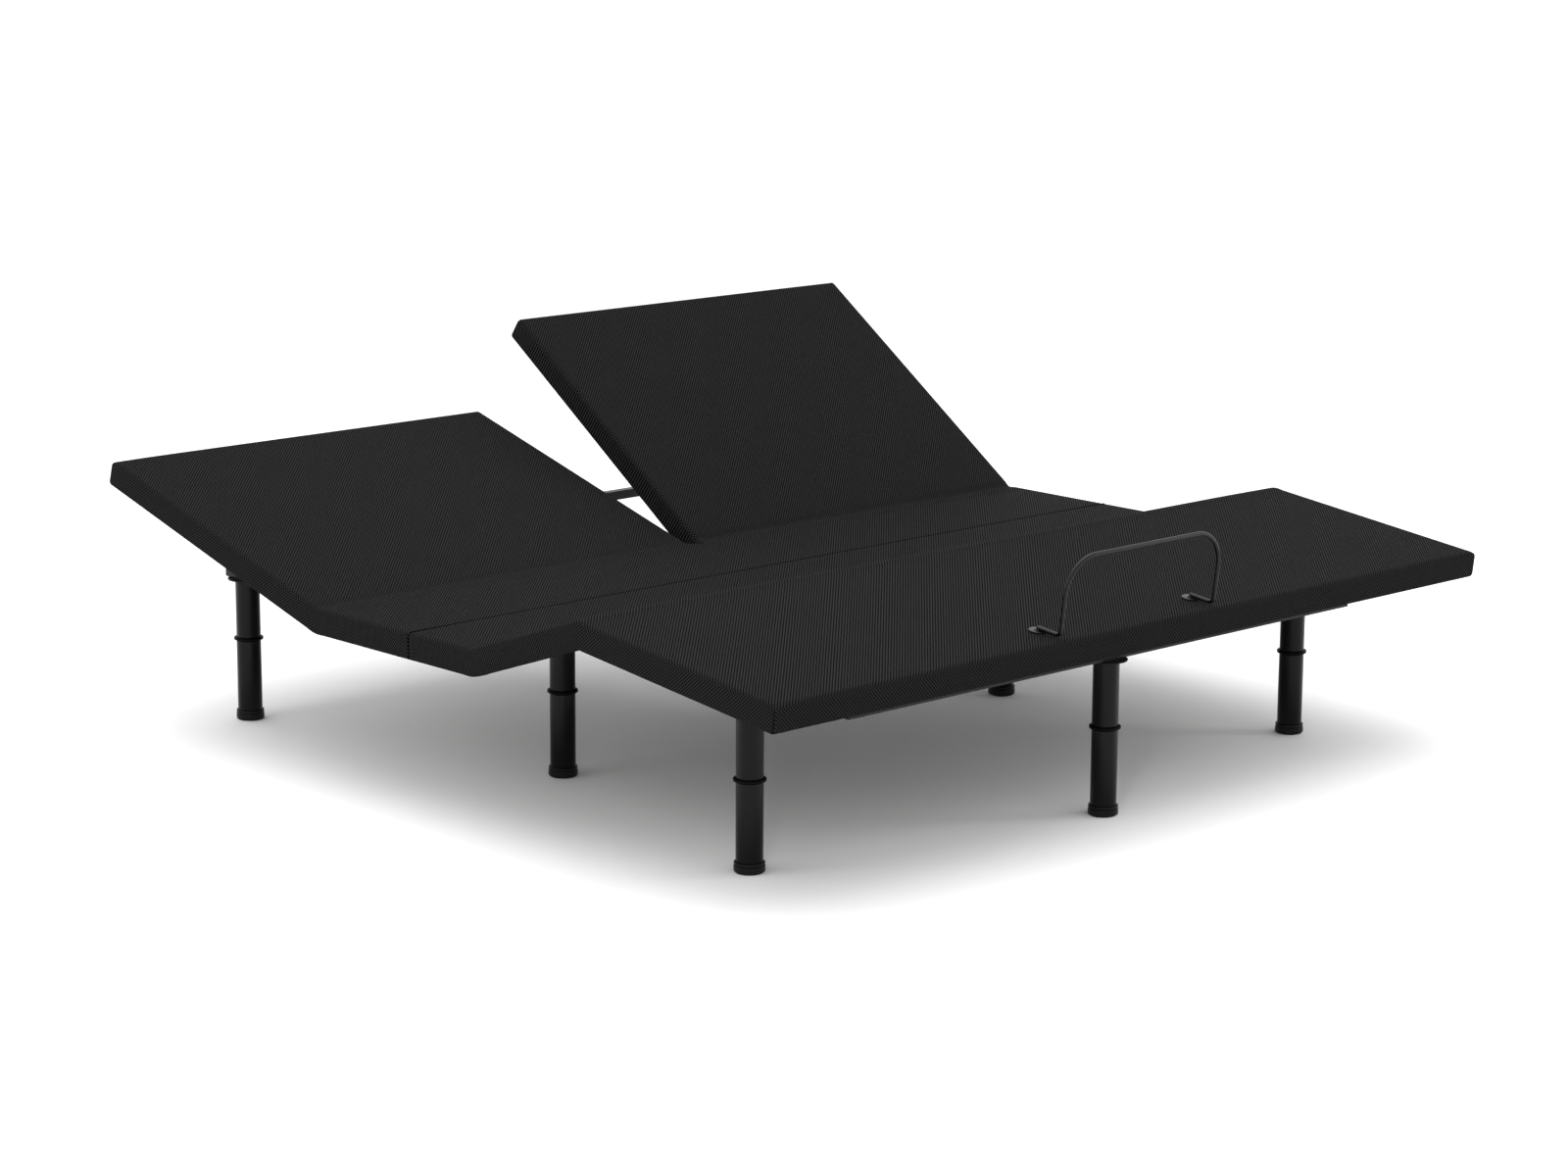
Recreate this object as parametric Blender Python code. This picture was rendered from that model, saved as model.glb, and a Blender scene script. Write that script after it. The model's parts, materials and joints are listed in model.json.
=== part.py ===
"""Adjustable bed base, king size with a split head, on seven two-part legs.

The deck is five padded sections that fold on cross shafts. Two head sections, side by side, lift on
their own. The thigh and foot sections cross the full width and fold together. A steel frame below
carries the seat, three lift arms, three linear actuators and the control box.

+X is to the right seen from the foot, +Y points to the head, +Z is up, and the floor is z = 0.
"""

from math import atan2, cos, degrees, pi, radians, sin, sqrt, tan

import bmesh
import bpy
from mathutils import Matrix, Vector

# Deck sections
WIDTH = 1.930
DECK_TOP = 0.350             # top of the seat above the floor
DECK_DEPTH = 0.054           # top to bottom of a padded section
PADDING = 0.008              # foam and fabric over a board
BOARD = 0.015
EDGE_WALL = 0.025            # padded edge that hangs round a board
EDGE_RADIUS = 0.010
SPLIT_GAP = 0.030            # between the two head sections
SPLIT_NOTCH = 0.030          # how far the split runs on into the seat, past the head fold
PIVOT_DEPTH = 0.012          # fold shafts lie this far below the deck's top
FOLD_SETBACK = 0.008         # from a shaft's axis to the section beside it
RIDGE_SETBACK = 0.014        # from the ridge's shaft to the boards, which close up below it
RIDGE_MITRE = 0.012          # how far the thigh and foot edges lean back below their fold
HEAD_LENGTH = 0.709
SEAT_LENGTH = 0.469
SEAT_SEAM = 0.290            # from the head fold to the seam across the seat
THIGH_LENGTH = 0.3155
FOOT_LENGTH = 0.5185

# How the deck is set: angles above level in degrees
HEAD_LEFT_ANGLE = 15.85
HEAD_RIGHT_ANGLE = 35.0
THIGH_ANGLE = 19.0
THIGH_LIMIT = 35.0
FOOT_SLOPE = 6.7             # how far the foot section slopes down from the ridge

# Steel frame
HEAD_FOLD_Y = 0.3013         # head fold from the base's middle
TUBE_WIDTH = 0.050
TUBE_HEIGHT = 0.025
TUBE_WALL = 0.002
FRAME_BOTTOM = 0.297
SIDE_RAIL_X = 0.752
SIDE_RAIL_HEAD_Y = 0.560
SIDE_RAIL_FOOT_Y = -0.118
INNER_RAIL_X = 0.562
INNER_RAIL_HEAD_Y = -0.015
INNER_RAIL_FOOT_Y = -1.020
HEAD_CROSSBAR_Y = -0.045
THIGH_CROSSBAR_Y = -0.424
FOOT_CROSSBAR_Y = -0.993
CROSSBAR_WIDTH = 0.040
THIGH_CROSSBAR_LENGTH = 1.260
FOOT_CROSSBAR_LENGTH = 1.554     # its ends carry the two foot legs
FOOT_BEAM_Y = -1.159
FOOT_BEAM_LENGTH = 1.380
FOOT_BEAM_BOTTOM = 0.302     # a shallower tube, tucked up under the foot section
HEAD_BAR_Y = 0.632
HEAD_BAR_TOP = 0.3255
HEAD_BAR_SIZE = 0.020
HEAD_BAR_DIP = 0.035         # its middle dips to clear the inner edges of both head sections
PLATE = 0.006

# Legs
LEG_RADIUS = 0.025
LEG_RING_RADIUS = 0.030
LEG_FLANGE_RADIUS = 0.040
LEG_FLANGE = 0.003
LEG_SPLIT_Z = 0.1700         # where the upper tube's ring meets the lower tube
LEG_RING = 0.006
LEG_CAP_RADIUS = 0.0285
LEG_CAP_HEIGHT = 0.020
LEGS = {
    "head_left": (-0.752, 0.520),
    "head_right": (0.752, 0.520),
    "middle_left": (-0.570, -0.263),
    "middle_right": (0.555, -0.371),
    "foot_left": (-0.752, -0.993),
    "foot_right": (0.752, -0.993),
    "foot_centre": (0.0, -1.159),
}

# Lift arms and actuators
LIFT_DROP = 0.093            # lift shafts lie this far below the fold shafts
LIFT_SHAFT_RADIUS = 0.016
LIFT_SHAFT_LENGTH = 0.300
HEAD_LIFT_X = 0.220
BEARING_INSET = 0.025        # bearing plates from a shaft's ends
BEARING_EDGE = 0.026         # metal round a lift shaft
ARM_WIDTH = 0.040
ARM_HEIGHT = 0.025
HEAD_ARM = 0.385
THIGH_ARM = 0.250
LEVER = 0.085
LEVER_ANGLE = -130.0         # lever from the arm, in degrees
LEVER_WIDTH = 0.024
LEVER_PLATE = 0.008
LEVER_PIN = 0.005
LEVER_PIN_LENGTH = 0.032
GLIDE_RADIUS = 0.015
GLIDE_LENGTH = 0.240
RUNNING_GAP = 0.0005
LIFT_RATIO = 0.8800          # arm angle per degree of fold
ACTUATOR_REACH = 0.415       # tail pin behind the lift shaft
ACTUATOR_DROP = 0.0803       # its line passes this far below the lift shaft
ACTUATOR_SLOPE = 4.3         # degrees below level, towards the lever
ROD_TRAVEL = 0.0725          # metres of rod per radian of fold
ROD_RADIUS = 0.010
ROD_LENGTH = 0.150
ROD_SETBACK = 0.025          # from the lever's pin back to the rod's end
FORK_WIDTH = 0.025
FORK_CHEEK = 0.006
FORK_ROOT = 0.0195           # from the pin back to the fork's solid part
FORK_HEIGHT = 0.034
FORK_SLOT = 0.016            # play along the rod for the lever's pin
HOUSING_RADIUS = 0.020
HOUSING_END = 0.315
GEARBOX = (0.064, 0.090, 0.060)
MOTOR_RADIUS = 0.0225
MOTOR_RISE = 0.044           # the motor lies above the housing tube
MOTOR_END = 0.190
SADDLE_INSET = 0.004         # the saddle between gearbox and motor
SADDLE_RISE = 0.006
TAIL_PIN_RADIUS = 0.006
TAIL_PLATE_X = 0.039         # on both sides of the gearbox
TAIL_PLATE_EDGE = 0.018      # metal round a tail pin

# Links that steady the foot section
LINK_X = 0.300
LINK_REACH = 0.080           # from the ridge shaft to the link's pin on the foot section
LINK_DROP = 0.050            # of that pin below the fold
LINK_SIZE = (0.008, 0.020)
LINK_PIN = 0.005
LINK_PIN_SHORT = 0.0015      # pins end this far inside their brackets' outer faces
LINK_BRACKET_X = 0.0085      # brackets stand this far outside the links
LINK_BRACKET_EDGE = 0.018
LINK_SLOT = 0.010            # radius of the hole that the pin has play in

# Mattress retainer bar
RETAINER_X = -0.043
RETAINER_WIDTH = 0.420
RETAINER_HEIGHT = 0.144
RETAINER_ROD = 0.004
RETAINER_FOOT = 0.056        # arm from the hoop back to its disc
RETAINER_EDGE = 0.012        # hoop from the foot end of the deck
RETAINER_BEND = 0.070
RETAINER_DISC_RADIUS = 0.017
RETAINER_DISC = 0.003
RETAINER_TOE = 0.004         # its arms stand in from the hoop's sides
RETAINER_WELD = 0.001        # discs sink this far into the rod

# Fold shafts and the tabs that carry them
FOLD_SHAFT_RADIUS = 0.004
TAB_WIDTH = 0.040
TAB_REACH = 0.050
TAB_PLATE = 0.003
OUTER_TAB_X = 0.85
INNER_TAB_X = 0.45
SPLIT_TAB_X = 0.12

# Control box under the seat: from the head fold towards the foot
CONTROL_BOX_X = (0.15, 0.40)
CONTROL_BOX_Y = (-0.360, -0.190)
CONTROL_BOX_BOTTOM = 0.281
INLET_SIZE = (0.028, 0.020, 0.010)      # along the bed, up, deep
INLET_LIFT = 0.011

GAP = 0.0003                 # between pieces that touch
SIDES = 20                   # flats round a turned piece

PIVOT_Z = DECK_TOP - PIVOT_DEPTH
LIFT_Z = PIVOT_Z - LIFT_DROP
TAIL_Z = LIFT_Z - ACTUATOR_DROP + ACTUATOR_REACH * tan(radians(ACTUATOR_SLOPE))
FRAME_TOP = FRAME_BOTTOM + TUBE_HEIGHT
INNER_RAIL_TOP = FRAME_BOTTOM - GAP
WELD_Z = FRAME_BOTTOM + TUBE_WALL / 2        # plates reach this far into the tubes they hang from
BOARD_TOP = PIVOT_DEPTH - PADDING - GAP      # above the fold axis
BOARD_BOTTOM = BOARD_TOP - BOARD
FOOT_FOLD_RATIO = (THIGH_ANGLE + FOOT_SLOPE) / THIGH_ANGLE

for item in list(bpy.data.objects):
    bpy.data.objects.remove(item, do_unlink=True)


def material(name, colour, roughness, metallic=0.0):
    made = bpy.data.materials.new(name)
    made.use_nodes = True
    shader = made.node_tree.nodes["Principled BSDF"]
    shader.inputs["Base Color"].default_value = (*colour, 1.0)
    shader.inputs["Roughness"].default_value = roughness
    shader.inputs["Metallic"].default_value = metallic
    return made


FABRIC = material("black_mesh_fabric", (0.022, 0.022, 0.024), 0.85)
STEEL = material("black_powder_coat", (0.020, 0.020, 0.021), 0.42)
PLYWOOD = material("plywood", (0.42, 0.30, 0.18), 0.65)
PLASTIC = material("black_plastic", (0.025, 0.025, 0.026), 0.50)
NYLON = material("grey_nylon", (0.30, 0.30, 0.30), 0.45)
CHROME = material("polished_rod", (0.75, 0.75, 0.76), 0.15, 1.0)
ZINC = material("zinc_plate", (0.55, 0.56, 0.58), 0.35, 1.0)


# Building blocks

def add_box(mesh, low, high):
    """A box between two opposite corners."""
    low, high = Vector(low), Vector(high)
    size = Matrix.Diagonal((*(high - low), 1.0))
    bmesh.ops.create_cube(mesh, size=1.0, matrix=Matrix.Translation((low + high) / 2) @ size)


def add_rod(mesh, start, end, radius, sides=SIDES):
    """A round bar between two points."""
    start, end = Vector(start), Vector(end)
    run = end - start
    turn = run.to_track_quat("Z", "Y").to_matrix().to_4x4()
    bmesh.ops.create_cone(mesh, cap_ends=True, segments=sides, radius1=radius, radius2=radius,
                          depth=run.length, matrix=Matrix.Translation((start + end) / 2) @ turn)


def add_turned(mesh, outline, sides=SIDES):
    """A piece turned about Z from (radius, z) points, listed from the top down."""
    rings = []
    for radius, height in outline:
        rings.append([mesh.verts.new((radius * cos(2 * pi * k / sides),
                                      radius * sin(2 * pi * k / sides), height))
                      for k in range(sides)])
    for upper, lower in zip(rings, rings[1:]):
        for k in range(sides):
            after = (k + 1) % sides
            mesh.faces.new((upper[k], lower[k], lower[after], upper[after]))
    mesh.faces.new(rings[0])
    mesh.faces.new(list(reversed(rings[-1])))


def add_slab(mesh, outline, x_low, x_high):
    """A (y, z) outline, drawn across X."""
    near = [mesh.verts.new((x_low, y, z)) for y, z in outline]
    face = mesh.faces.new(near)
    grown = bmesh.ops.extrude_face_region(mesh, geom=[face])
    moved = [v for v in grown["geom"] if isinstance(v, bmesh.types.BMVert)]
    bmesh.ops.translate(mesh, verts=moved, vec=(x_high - x_low, 0.0, 0.0))
    bmesh.ops.recalc_face_normals(mesh, faces=mesh.faces)


def add_square_tube(mesh, low, high, axis, wall=TUBE_WALL):
    """A hollow bar that is open at both ends of its axis (0 for X, 1 for Y)."""
    across, up = (1, 2) if axis == 0 else (0, 2)
    loops = []
    for inset in (0.0, wall):
        for place in (low[axis], high[axis]):
            loop = []
            for side, height in ((0, 0), (1, 0), (1, 1), (0, 1)):
                point = [0.0, 0.0, 0.0]
                point[axis] = place
                point[across] = (low[across] + inset, high[across] - inset)[side]
                point[up] = (low[up] + inset, high[up] - inset)[height]
                loop.append(mesh.verts.new(point))
            loops.append(loop)
    outer_start, outer_end, inner_start, inner_end = loops
    for first, second in ((outer_start, outer_end), (outer_end, inner_end),
                          (inner_end, inner_start), (inner_start, outer_start)):
        for k in range(4):
            after = (k + 1) % 4
            mesh.faces.new((first[k], first[after], second[after], second[k]))
    bmesh.ops.recalc_face_normals(mesh, faces=mesh.faces)


def make(name, build, finish, parent, smooth=False):
    """An object whose mesh the function build fills in, placed under a parent empty."""
    mesh = bmesh.new()
    build(mesh)
    data = bpy.data.meshes.new(name)
    mesh.to_mesh(data)
    mesh.free()
    if smooth:
        data.shade_smooth()
        data.set_sharp_from_angle(angle=radians(40))
    thing = bpy.data.objects.new(name, data)
    bpy.context.scene.collection.objects.link(thing)
    thing.parent = parent
    if finish:
        data.materials.append(finish)
    return thing


def alter(thing, operation, *builds):
    """Join pieces to an object, or cut them from it, each with its own Boolean."""
    for number, build in enumerate(builds):
        guide = make(f"{thing.name}_{operation.lower()}_{number}", build, None, thing.parent)
        guide.hide_render = True
        guide.display_type = "WIRE"
        step = thing.modifiers.new(guide.name, "BOOLEAN")
        step.operation = operation
        step.object = guide


def empty(name, place, angle=0.0, parent=None, facing_foot=False):
    """An axis: its X lies across the bed. One that faces the foot is turned half round first."""
    mark = bpy.data.objects.new(name, None)
    bpy.context.scene.collection.objects.link(mark)
    mark.parent = parent
    turn = Matrix.Rotation(pi, 4, "Z") if facing_foot else Matrix.Identity(4)
    mark.matrix_local = Matrix.Translation(place) @ turn @ Matrix.Rotation(radians(angle), 4, "X")
    return mark


def box(low, high):
    return lambda mesh: add_box(mesh, low, high)


def rod(start, end, radius, sides=SIDES):
    return lambda mesh: add_rod(mesh, start, end, radius, sides)


def square_tube(low, high, axis):
    return lambda mesh: add_square_tube(mesh, low, high, axis)


# Everything is placed from the head fold, on the floor below it.
base = empty("base", (0.0, HEAD_FOLD_Y, 0.0))


# Steel frame

def cross_tube(name, y, half_length, bottom=FRAME_BOTTOM):
    return make(name, square_tube((-half_length, y - CROSSBAR_WIDTH / 2, bottom),
                                  (half_length, y + CROSSBAR_WIDTH / 2, FRAME_TOP), 0), STEEL, base)


def side_rail(name, side):
    centre = side * SIDE_RAIL_X
    rail = make(name, square_tube((centre - TUBE_WIDTH / 2, SIDE_RAIL_FOOT_Y, FRAME_BOTTOM),
                                  (centre + TUBE_WIDTH / 2, SIDE_RAIL_HEAD_Y, FRAME_TOP), 1), STEEL, base)
    inner_face = side * (SIDE_RAIL_X - TUBE_WIDTH / 2)
    near, far = sorted((inner_face - side * 0.005, inner_face + side * 0.0005))
    alter(rail, "UNION", box((near, SIDE_RAIL_HEAD_Y - 0.110, FRAME_BOTTOM + 0.004),
                             (far, HEAD_BAR_Y + HEAD_BAR_SIZE / 2, FRAME_TOP - 0.001)))


def inner_rail(name, side):
    centre = side * INNER_RAIL_X
    make(name, square_tube((centre - TUBE_WIDTH / 2, INNER_RAIL_FOOT_Y, INNER_RAIL_TOP - TUBE_HEIGHT),
                           (centre + TUBE_WIDTH / 2, INNER_RAIL_HEAD_Y, INNER_RAIL_TOP), 1), STEEL, base)


def bearing_plate(x, y, crossbar_y, toward):
    """A plate that hangs from a crossbar and holds a lift shaft at y."""
    ends = sorted((crossbar_y - toward * CROSSBAR_WIDTH / 2, y + toward * BEARING_EDGE))
    return box((x - PLATE / 2, ends[0], LIFT_Z - BEARING_EDGE), (x + PLATE / 2, ends[1], WELD_Z))


def tail_plates(x, y, z):
    """Two plates that hold an actuator's tail pin between them."""
    return [box((x + side * TAIL_PLATE_X - PLATE / 2, y - TAIL_PLATE_EDGE, z - TAIL_PLATE_EDGE),
                (x + side * TAIL_PLATE_X + PLATE / 2, y + TAIL_PLATE_EDGE, WELD_Z)) for side in (-1, 1)]


def tail_bore(x, y, z):
    return rod((x - 1.5 * TAIL_PLATE_X, y, z), (x + 1.5 * TAIL_PLATE_X, y, z),
               TAIL_PIN_RADIUS + RUNNING_GAP)


def shaft_bore(x, y):
    return rod((x - LIFT_SHAFT_LENGTH, y, LIFT_Z), (x + LIFT_SHAFT_LENGTH, y, LIFT_Z),
               LIFT_SHAFT_RADIUS + RUNNING_GAP)


bearing_offset = LIFT_SHAFT_LENGTH / 2 - BEARING_INSET

for side, side_name in ((-1, "left"), (1, "right")):
    side_rail(f"side_rail_{side_name}", side)
    inner_rail(f"inner_rail_{side_name}", side)

head_crossbar = cross_tube("head_crossbar", HEAD_CROSSBAR_Y, SIDE_RAIL_X - TUBE_WIDTH / 2 - GAP)
for side in (-1, 1):
    for offset in (-bearing_offset, bearing_offset):
        x = side * HEAD_LIFT_X + offset
        alter(head_crossbar, "UNION", bearing_plate(x, 0.0, HEAD_CROSSBAR_Y, 1))
alter(head_crossbar, "DIFFERENCE", shaft_bore(-HEAD_LIFT_X, 0.0), shaft_bore(HEAD_LIFT_X, 0.0))
thigh_tail_y = -SEAT_LENGTH + ACTUATOR_REACH
alter(head_crossbar, "UNION", *tail_plates(0.0, thigh_tail_y, TAIL_Z))
alter(head_crossbar, "DIFFERENCE", tail_bore(0.0, thigh_tail_y, TAIL_Z))


def foot_point(thigh, reach, drop):
    """Where a point of the foot section is when the thigh is at an angle, as (y, z) from the head fold."""
    lift = radians(thigh)
    slope = radians((FOOT_FOLD_RATIO - 1) * thigh)
    y = -SEAT_LENGTH - THIGH_LENGTH * cos(lift) - reach * cos(slope) + drop * sin(slope)
    z = PIVOT_Z + THIGH_LENGTH * sin(lift) - reach * sin(slope) - drop * cos(slope)
    return Vector((y, z))


def circle_centre(first, second, third):
    """The centre of the circle through three points."""
    rows = Matrix(((second.x - first.x, second.y - first.y), (third.x - first.x, third.y - first.y)))
    squares = Vector((second.length_squared - first.length_squared,
                      third.length_squared - first.length_squared))
    return rows.inverted() @ squares / 2


# The links' fixed pins are the centre of the circle that their moving pins follow.
link_path = [foot_point(angle, LINK_REACH, LINK_DROP) for angle in (0.0, THIGH_ANGLE, THIGH_LIMIT)]
link_fixed = circle_centre(*link_path)
link_length = (link_path[0] - link_fixed).length

thigh_crossbar = cross_tube("thigh_crossbar", THIGH_CROSSBAR_Y, THIGH_CROSSBAR_LENGTH / 2)
for offset in (-bearing_offset, bearing_offset):
    alter(thigh_crossbar, "UNION", bearing_plate(offset, -SEAT_LENGTH, THIGH_CROSSBAR_Y, -1))
alter(thigh_crossbar, "DIFFERENCE", shaft_bore(0.0, -SEAT_LENGTH))
for side in (-1, 1):
    x = side * HEAD_LIFT_X
    alter(thigh_crossbar, "UNION", *tail_plates(x, -ACTUATOR_REACH, TAIL_Z))
    alter(thigh_crossbar, "DIFFERENCE", tail_bore(x, -ACTUATOR_REACH, TAIL_Z))
    x = side * (LINK_X + LINK_BRACKET_X)
    alter(thigh_crossbar, "UNION",
          box((x - PLATE / 2, link_fixed.x - LINK_BRACKET_EDGE, link_fixed.y - LINK_BRACKET_EDGE),
              (x + PLATE / 2, THIGH_CROSSBAR_Y + CROSSBAR_WIDTH / 2, WELD_Z)))

cross_tube("foot_crossbar", FOOT_CROSSBAR_Y, FOOT_CROSSBAR_LENGTH / 2)
foot_beam = cross_tube("foot_beam", FOOT_BEAM_Y, FOOT_BEAM_LENGTH / 2, FOOT_BEAM_BOTTOM)
alter(foot_beam, "UNION", box((-0.030, FOOT_BEAM_Y + CROSSBAR_WIDTH / 2 - 0.001, FOOT_BEAM_BOTTOM),
                              (0.030, FOOT_CROSSBAR_Y - CROSSBAR_WIDTH / 2 - GAP, FRAME_TOP)))


def headboard_bar(mesh):
    """A square bar with a dip at its middle, swept along its own line."""
    half = HEAD_BAR_SIZE / 2
    centre = HEAD_BAR_TOP - half
    end = SIDE_RAIL_X - TUBE_WIDTH / 2 - 0.005 - GAP
    line = [(-end, 0.0), (-0.110, 0.0), (-0.070, -HEAD_BAR_DIP),
            (0.070, -HEAD_BAR_DIP), (0.110, 0.0), (end, 0.0)]
    upper = [(x, drop + half) for x, drop in line]
    lower = [(x, drop - half) for x, drop in reversed(line)]
    near = [mesh.verts.new((x, HEAD_BAR_Y - half, centre + z)) for x, z in upper + lower]
    face = mesh.faces.new(near)
    grown = bmesh.ops.extrude_face_region(mesh, geom=[face])
    moved = [v for v in grown["geom"] if isinstance(v, bmesh.types.BMVert)]
    bmesh.ops.translate(mesh, verts=moved, vec=(0.0, HEAD_BAR_SIZE, 0.0))
    bmesh.ops.recalc_face_normals(mesh, faces=mesh.faces)


make("headboard_bar", headboard_bar, STEEL, base)


# Legs

def leg(name, x, y, top):
    spot = empty(f"leg_{name}", (x, y, 0.0), parent=base)
    ring_bottom = LEG_SPLIT_Z - LEG_RING / 2
    ring_top = LEG_SPLIT_Z + LEG_RING / 2
    upper = [(LEG_FLANGE_RADIUS, top), (LEG_FLANGE_RADIUS, top - LEG_FLANGE),
             (LEG_RADIUS, top - LEG_FLANGE),
             (LEG_RADIUS, ring_top), (LEG_RING_RADIUS - 0.001, ring_top), (LEG_RING_RADIUS, LEG_SPLIT_Z),
             (LEG_RING_RADIUS - 0.001, ring_bottom), (LEG_RADIUS - 0.001, ring_bottom)]
    lower = [(LEG_RADIUS, ring_bottom - GAP), (LEG_RADIUS, LEG_CAP_HEIGHT + GAP)]
    cap = [(LEG_CAP_RADIUS - 0.001, LEG_CAP_HEIGHT), (LEG_CAP_RADIUS, LEG_CAP_HEIGHT - 0.001),
           (LEG_CAP_RADIUS, 0.002), (LEG_CAP_RADIUS - 0.002, 0.0)]
    make(f"leg_{name}_upper", lambda mesh: add_turned(mesh, upper), STEEL, spot, smooth=True)
    make(f"leg_{name}_lower", lambda mesh: add_turned(mesh, lower), STEEL, spot, smooth=True)
    make(f"leg_{name}_cap", lambda mesh: add_turned(mesh, cap), PLASTIC, spot, smooth=True)


for leg_name, (leg_x, leg_y) in LEGS.items():
    if leg_name.startswith("middle"):
        carrier = INNER_RAIL_TOP - TUBE_HEIGHT
    else:
        carrier = FOOT_BEAM_BOTTOM if leg_name == "foot_centre" else FRAME_BOTTOM
    leg(leg_name, leg_x, leg_y, carrier - GAP)


# Deck sections. Each is drawn flat, from its fold axis along +Y, with z = 0 at the axis.

def side_profile(start, end, start_mitre=0.0, end_mitre=0.0):
    """The (y, z) outline of a section, whose fold ends may lean back below the board."""
    top = PIVOT_DEPTH
    bottom = PIVOT_DEPTH - DECK_DEPTH
    outline = [(start, top), (start, BOARD_BOTTOM), (start + start_mitre, bottom),
               (end - end_mitre, bottom), (end, BOARD_BOTTOM), (end, top)]
    straight = {1: not start_mitre, 4: not end_mitre}
    return [point for k, point in enumerate(outline) if not straight.get(k)]


def cover(name, parent, x_low, x_high, start, end, folds, mitres=(0.0, 0.0)):
    """Foam and fabric over a board, with padded edges that hang round it except at its folds."""

    def build(mesh):
        add_slab(mesh, side_profile(start, end, *mitres), x_low, x_high)
        fold_faces = set()
        for face in mesh.faces:
            normal = face.normal
            if abs(normal.y) > 0.5 and ("start" if normal.y < 0 else "end") in folds:
                fold_faces.add(face)
        rounded = [edge for edge in mesh.edges if not fold_faces.intersection(edge.link_faces)]
        bmesh.ops.bevel(mesh, geom=rounded, offset=EDGE_RADIUS, segments=2, profile=0.5, affect="EDGES")

    made = make(name, build, FABRIC, parent, smooth=True)
    pocket_start = start - EDGE_WALL if "start" in folds else start + EDGE_WALL
    pocket_end = end + EDGE_WALL if "end" in folds else end - EDGE_WALL
    alter(made, "DIFFERENCE", box((x_low + EDGE_WALL, pocket_start, -DECK_DEPTH),
                                  (x_high - EDGE_WALL, pocket_end, PIVOT_DEPTH - PADDING)))
    return made


def board(name, parent, x_low, x_high, start, end):
    return make(name, box((x_low + EDGE_WALL + GAP, start, BOARD_BOTTOM),
                          (x_high - EDGE_WALL - GAP, end, BOARD_TOP)), PLYWOOD, parent)


def fold_shaft(name, parent, tab_places, half_length):
    """A fold's shaft, on tabs that reach back under the section that carries it (towards -Y)."""
    shaft = make(name, rod((-half_length, 0, 0), (half_length, 0, 0), FOLD_SHAFT_RADIUS, 12), ZINC, parent)
    tab_top = BOARD_BOTTOM - GAP
    for x in tab_places:
        near, far = x - TAB_WIDTH / 2, x + TAB_WIDTH / 2
        alter(shaft, "UNION", box((near, -TAB_REACH, tab_top - TAB_PLATE), (far, TAB_PLATE, tab_top)),
              box((near, -TAB_PLATE, tab_top - TAB_PLATE + GAP), (far, TAB_PLATE, 0.0)))


half_width = WIDTH / 2
seat = empty("seat", (0.0, 0.0, PIVOT_Z), parent=base, facing_foot=True)
seat_board = board("seat_board", seat, -half_width, half_width, FOLD_SETBACK, SEAT_LENGTH - FOLD_SETBACK)
seat_head_cover = cover("seat_head_cover", seat, -half_width, half_width, FOLD_SETBACK, SEAT_SEAM - GAP,
                        {"start", "end"})
cover("seat_thigh_cover", seat, -half_width, half_width, SEAT_SEAM + GAP, SEAT_LENGTH - FOLD_SETBACK,
      {"start", "end"})
for piece, edge in ((seat_head_cover, 0.0), (seat_board, EDGE_WALL)):
    notch_half = SPLIT_GAP / 2 + edge
    alter(piece, "DIFFERENCE", box((-notch_half, -DECK_DEPTH, -DECK_DEPTH),
                                   (notch_half, SPLIT_NOTCH + edge, DECK_DEPTH)))
shaft_half = half_width - EDGE_WALL - GAP
outer_tabs = (-OUTER_TAB_X, -INNER_TAB_X, INNER_TAB_X, OUTER_TAB_X)

head_fold = empty("head_fold", (0.0, 0.0, PIVOT_Z), parent=base)
fold_shaft("head_fold_shaft", head_fold, outer_tabs + (-SPLIT_TAB_X, SPLIT_TAB_X), shaft_half)
inner_edge = SPLIT_GAP / 2
for side_name, angle, x_low, x_high in (("left", HEAD_LEFT_ANGLE, -half_width, -inner_edge),
                                        ("right", HEAD_RIGHT_ANGLE, inner_edge, half_width)):
    panel = empty(f"head_{side_name}", (0.0, 0.0, PIVOT_Z), angle, base)
    cover(f"head_{side_name}_cover", panel, x_low, x_high, FOLD_SETBACK, HEAD_LENGTH, {"start"})
    board(f"head_{side_name}_board", panel, x_low, x_high, FOLD_SETBACK, HEAD_LENGTH - EDGE_WALL - GAP)

thigh_fold = empty("thigh_fold", (0.0, -SEAT_LENGTH, PIVOT_Z), parent=base, facing_foot=True)
fold_shaft("thigh_fold_shaft", thigh_fold, outer_tabs, shaft_half)
thigh = empty("thigh", (0.0, -SEAT_LENGTH, PIVOT_Z), THIGH_ANGLE, base, facing_foot=True)
cover("thigh_cover", thigh, -half_width, half_width, FOLD_SETBACK, THIGH_LENGTH - FOLD_SETBACK,
      {"start", "end"}, (0.0, RIDGE_MITRE))
board("thigh_board", thigh, -half_width, half_width, FOLD_SETBACK, THIGH_LENGTH - RIDGE_SETBACK)
ridge = empty("ridge", (0.0, THIGH_LENGTH, 0.0), parent=thigh)
fold_shaft("foot_fold_shaft", ridge, outer_tabs, shaft_half)

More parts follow.
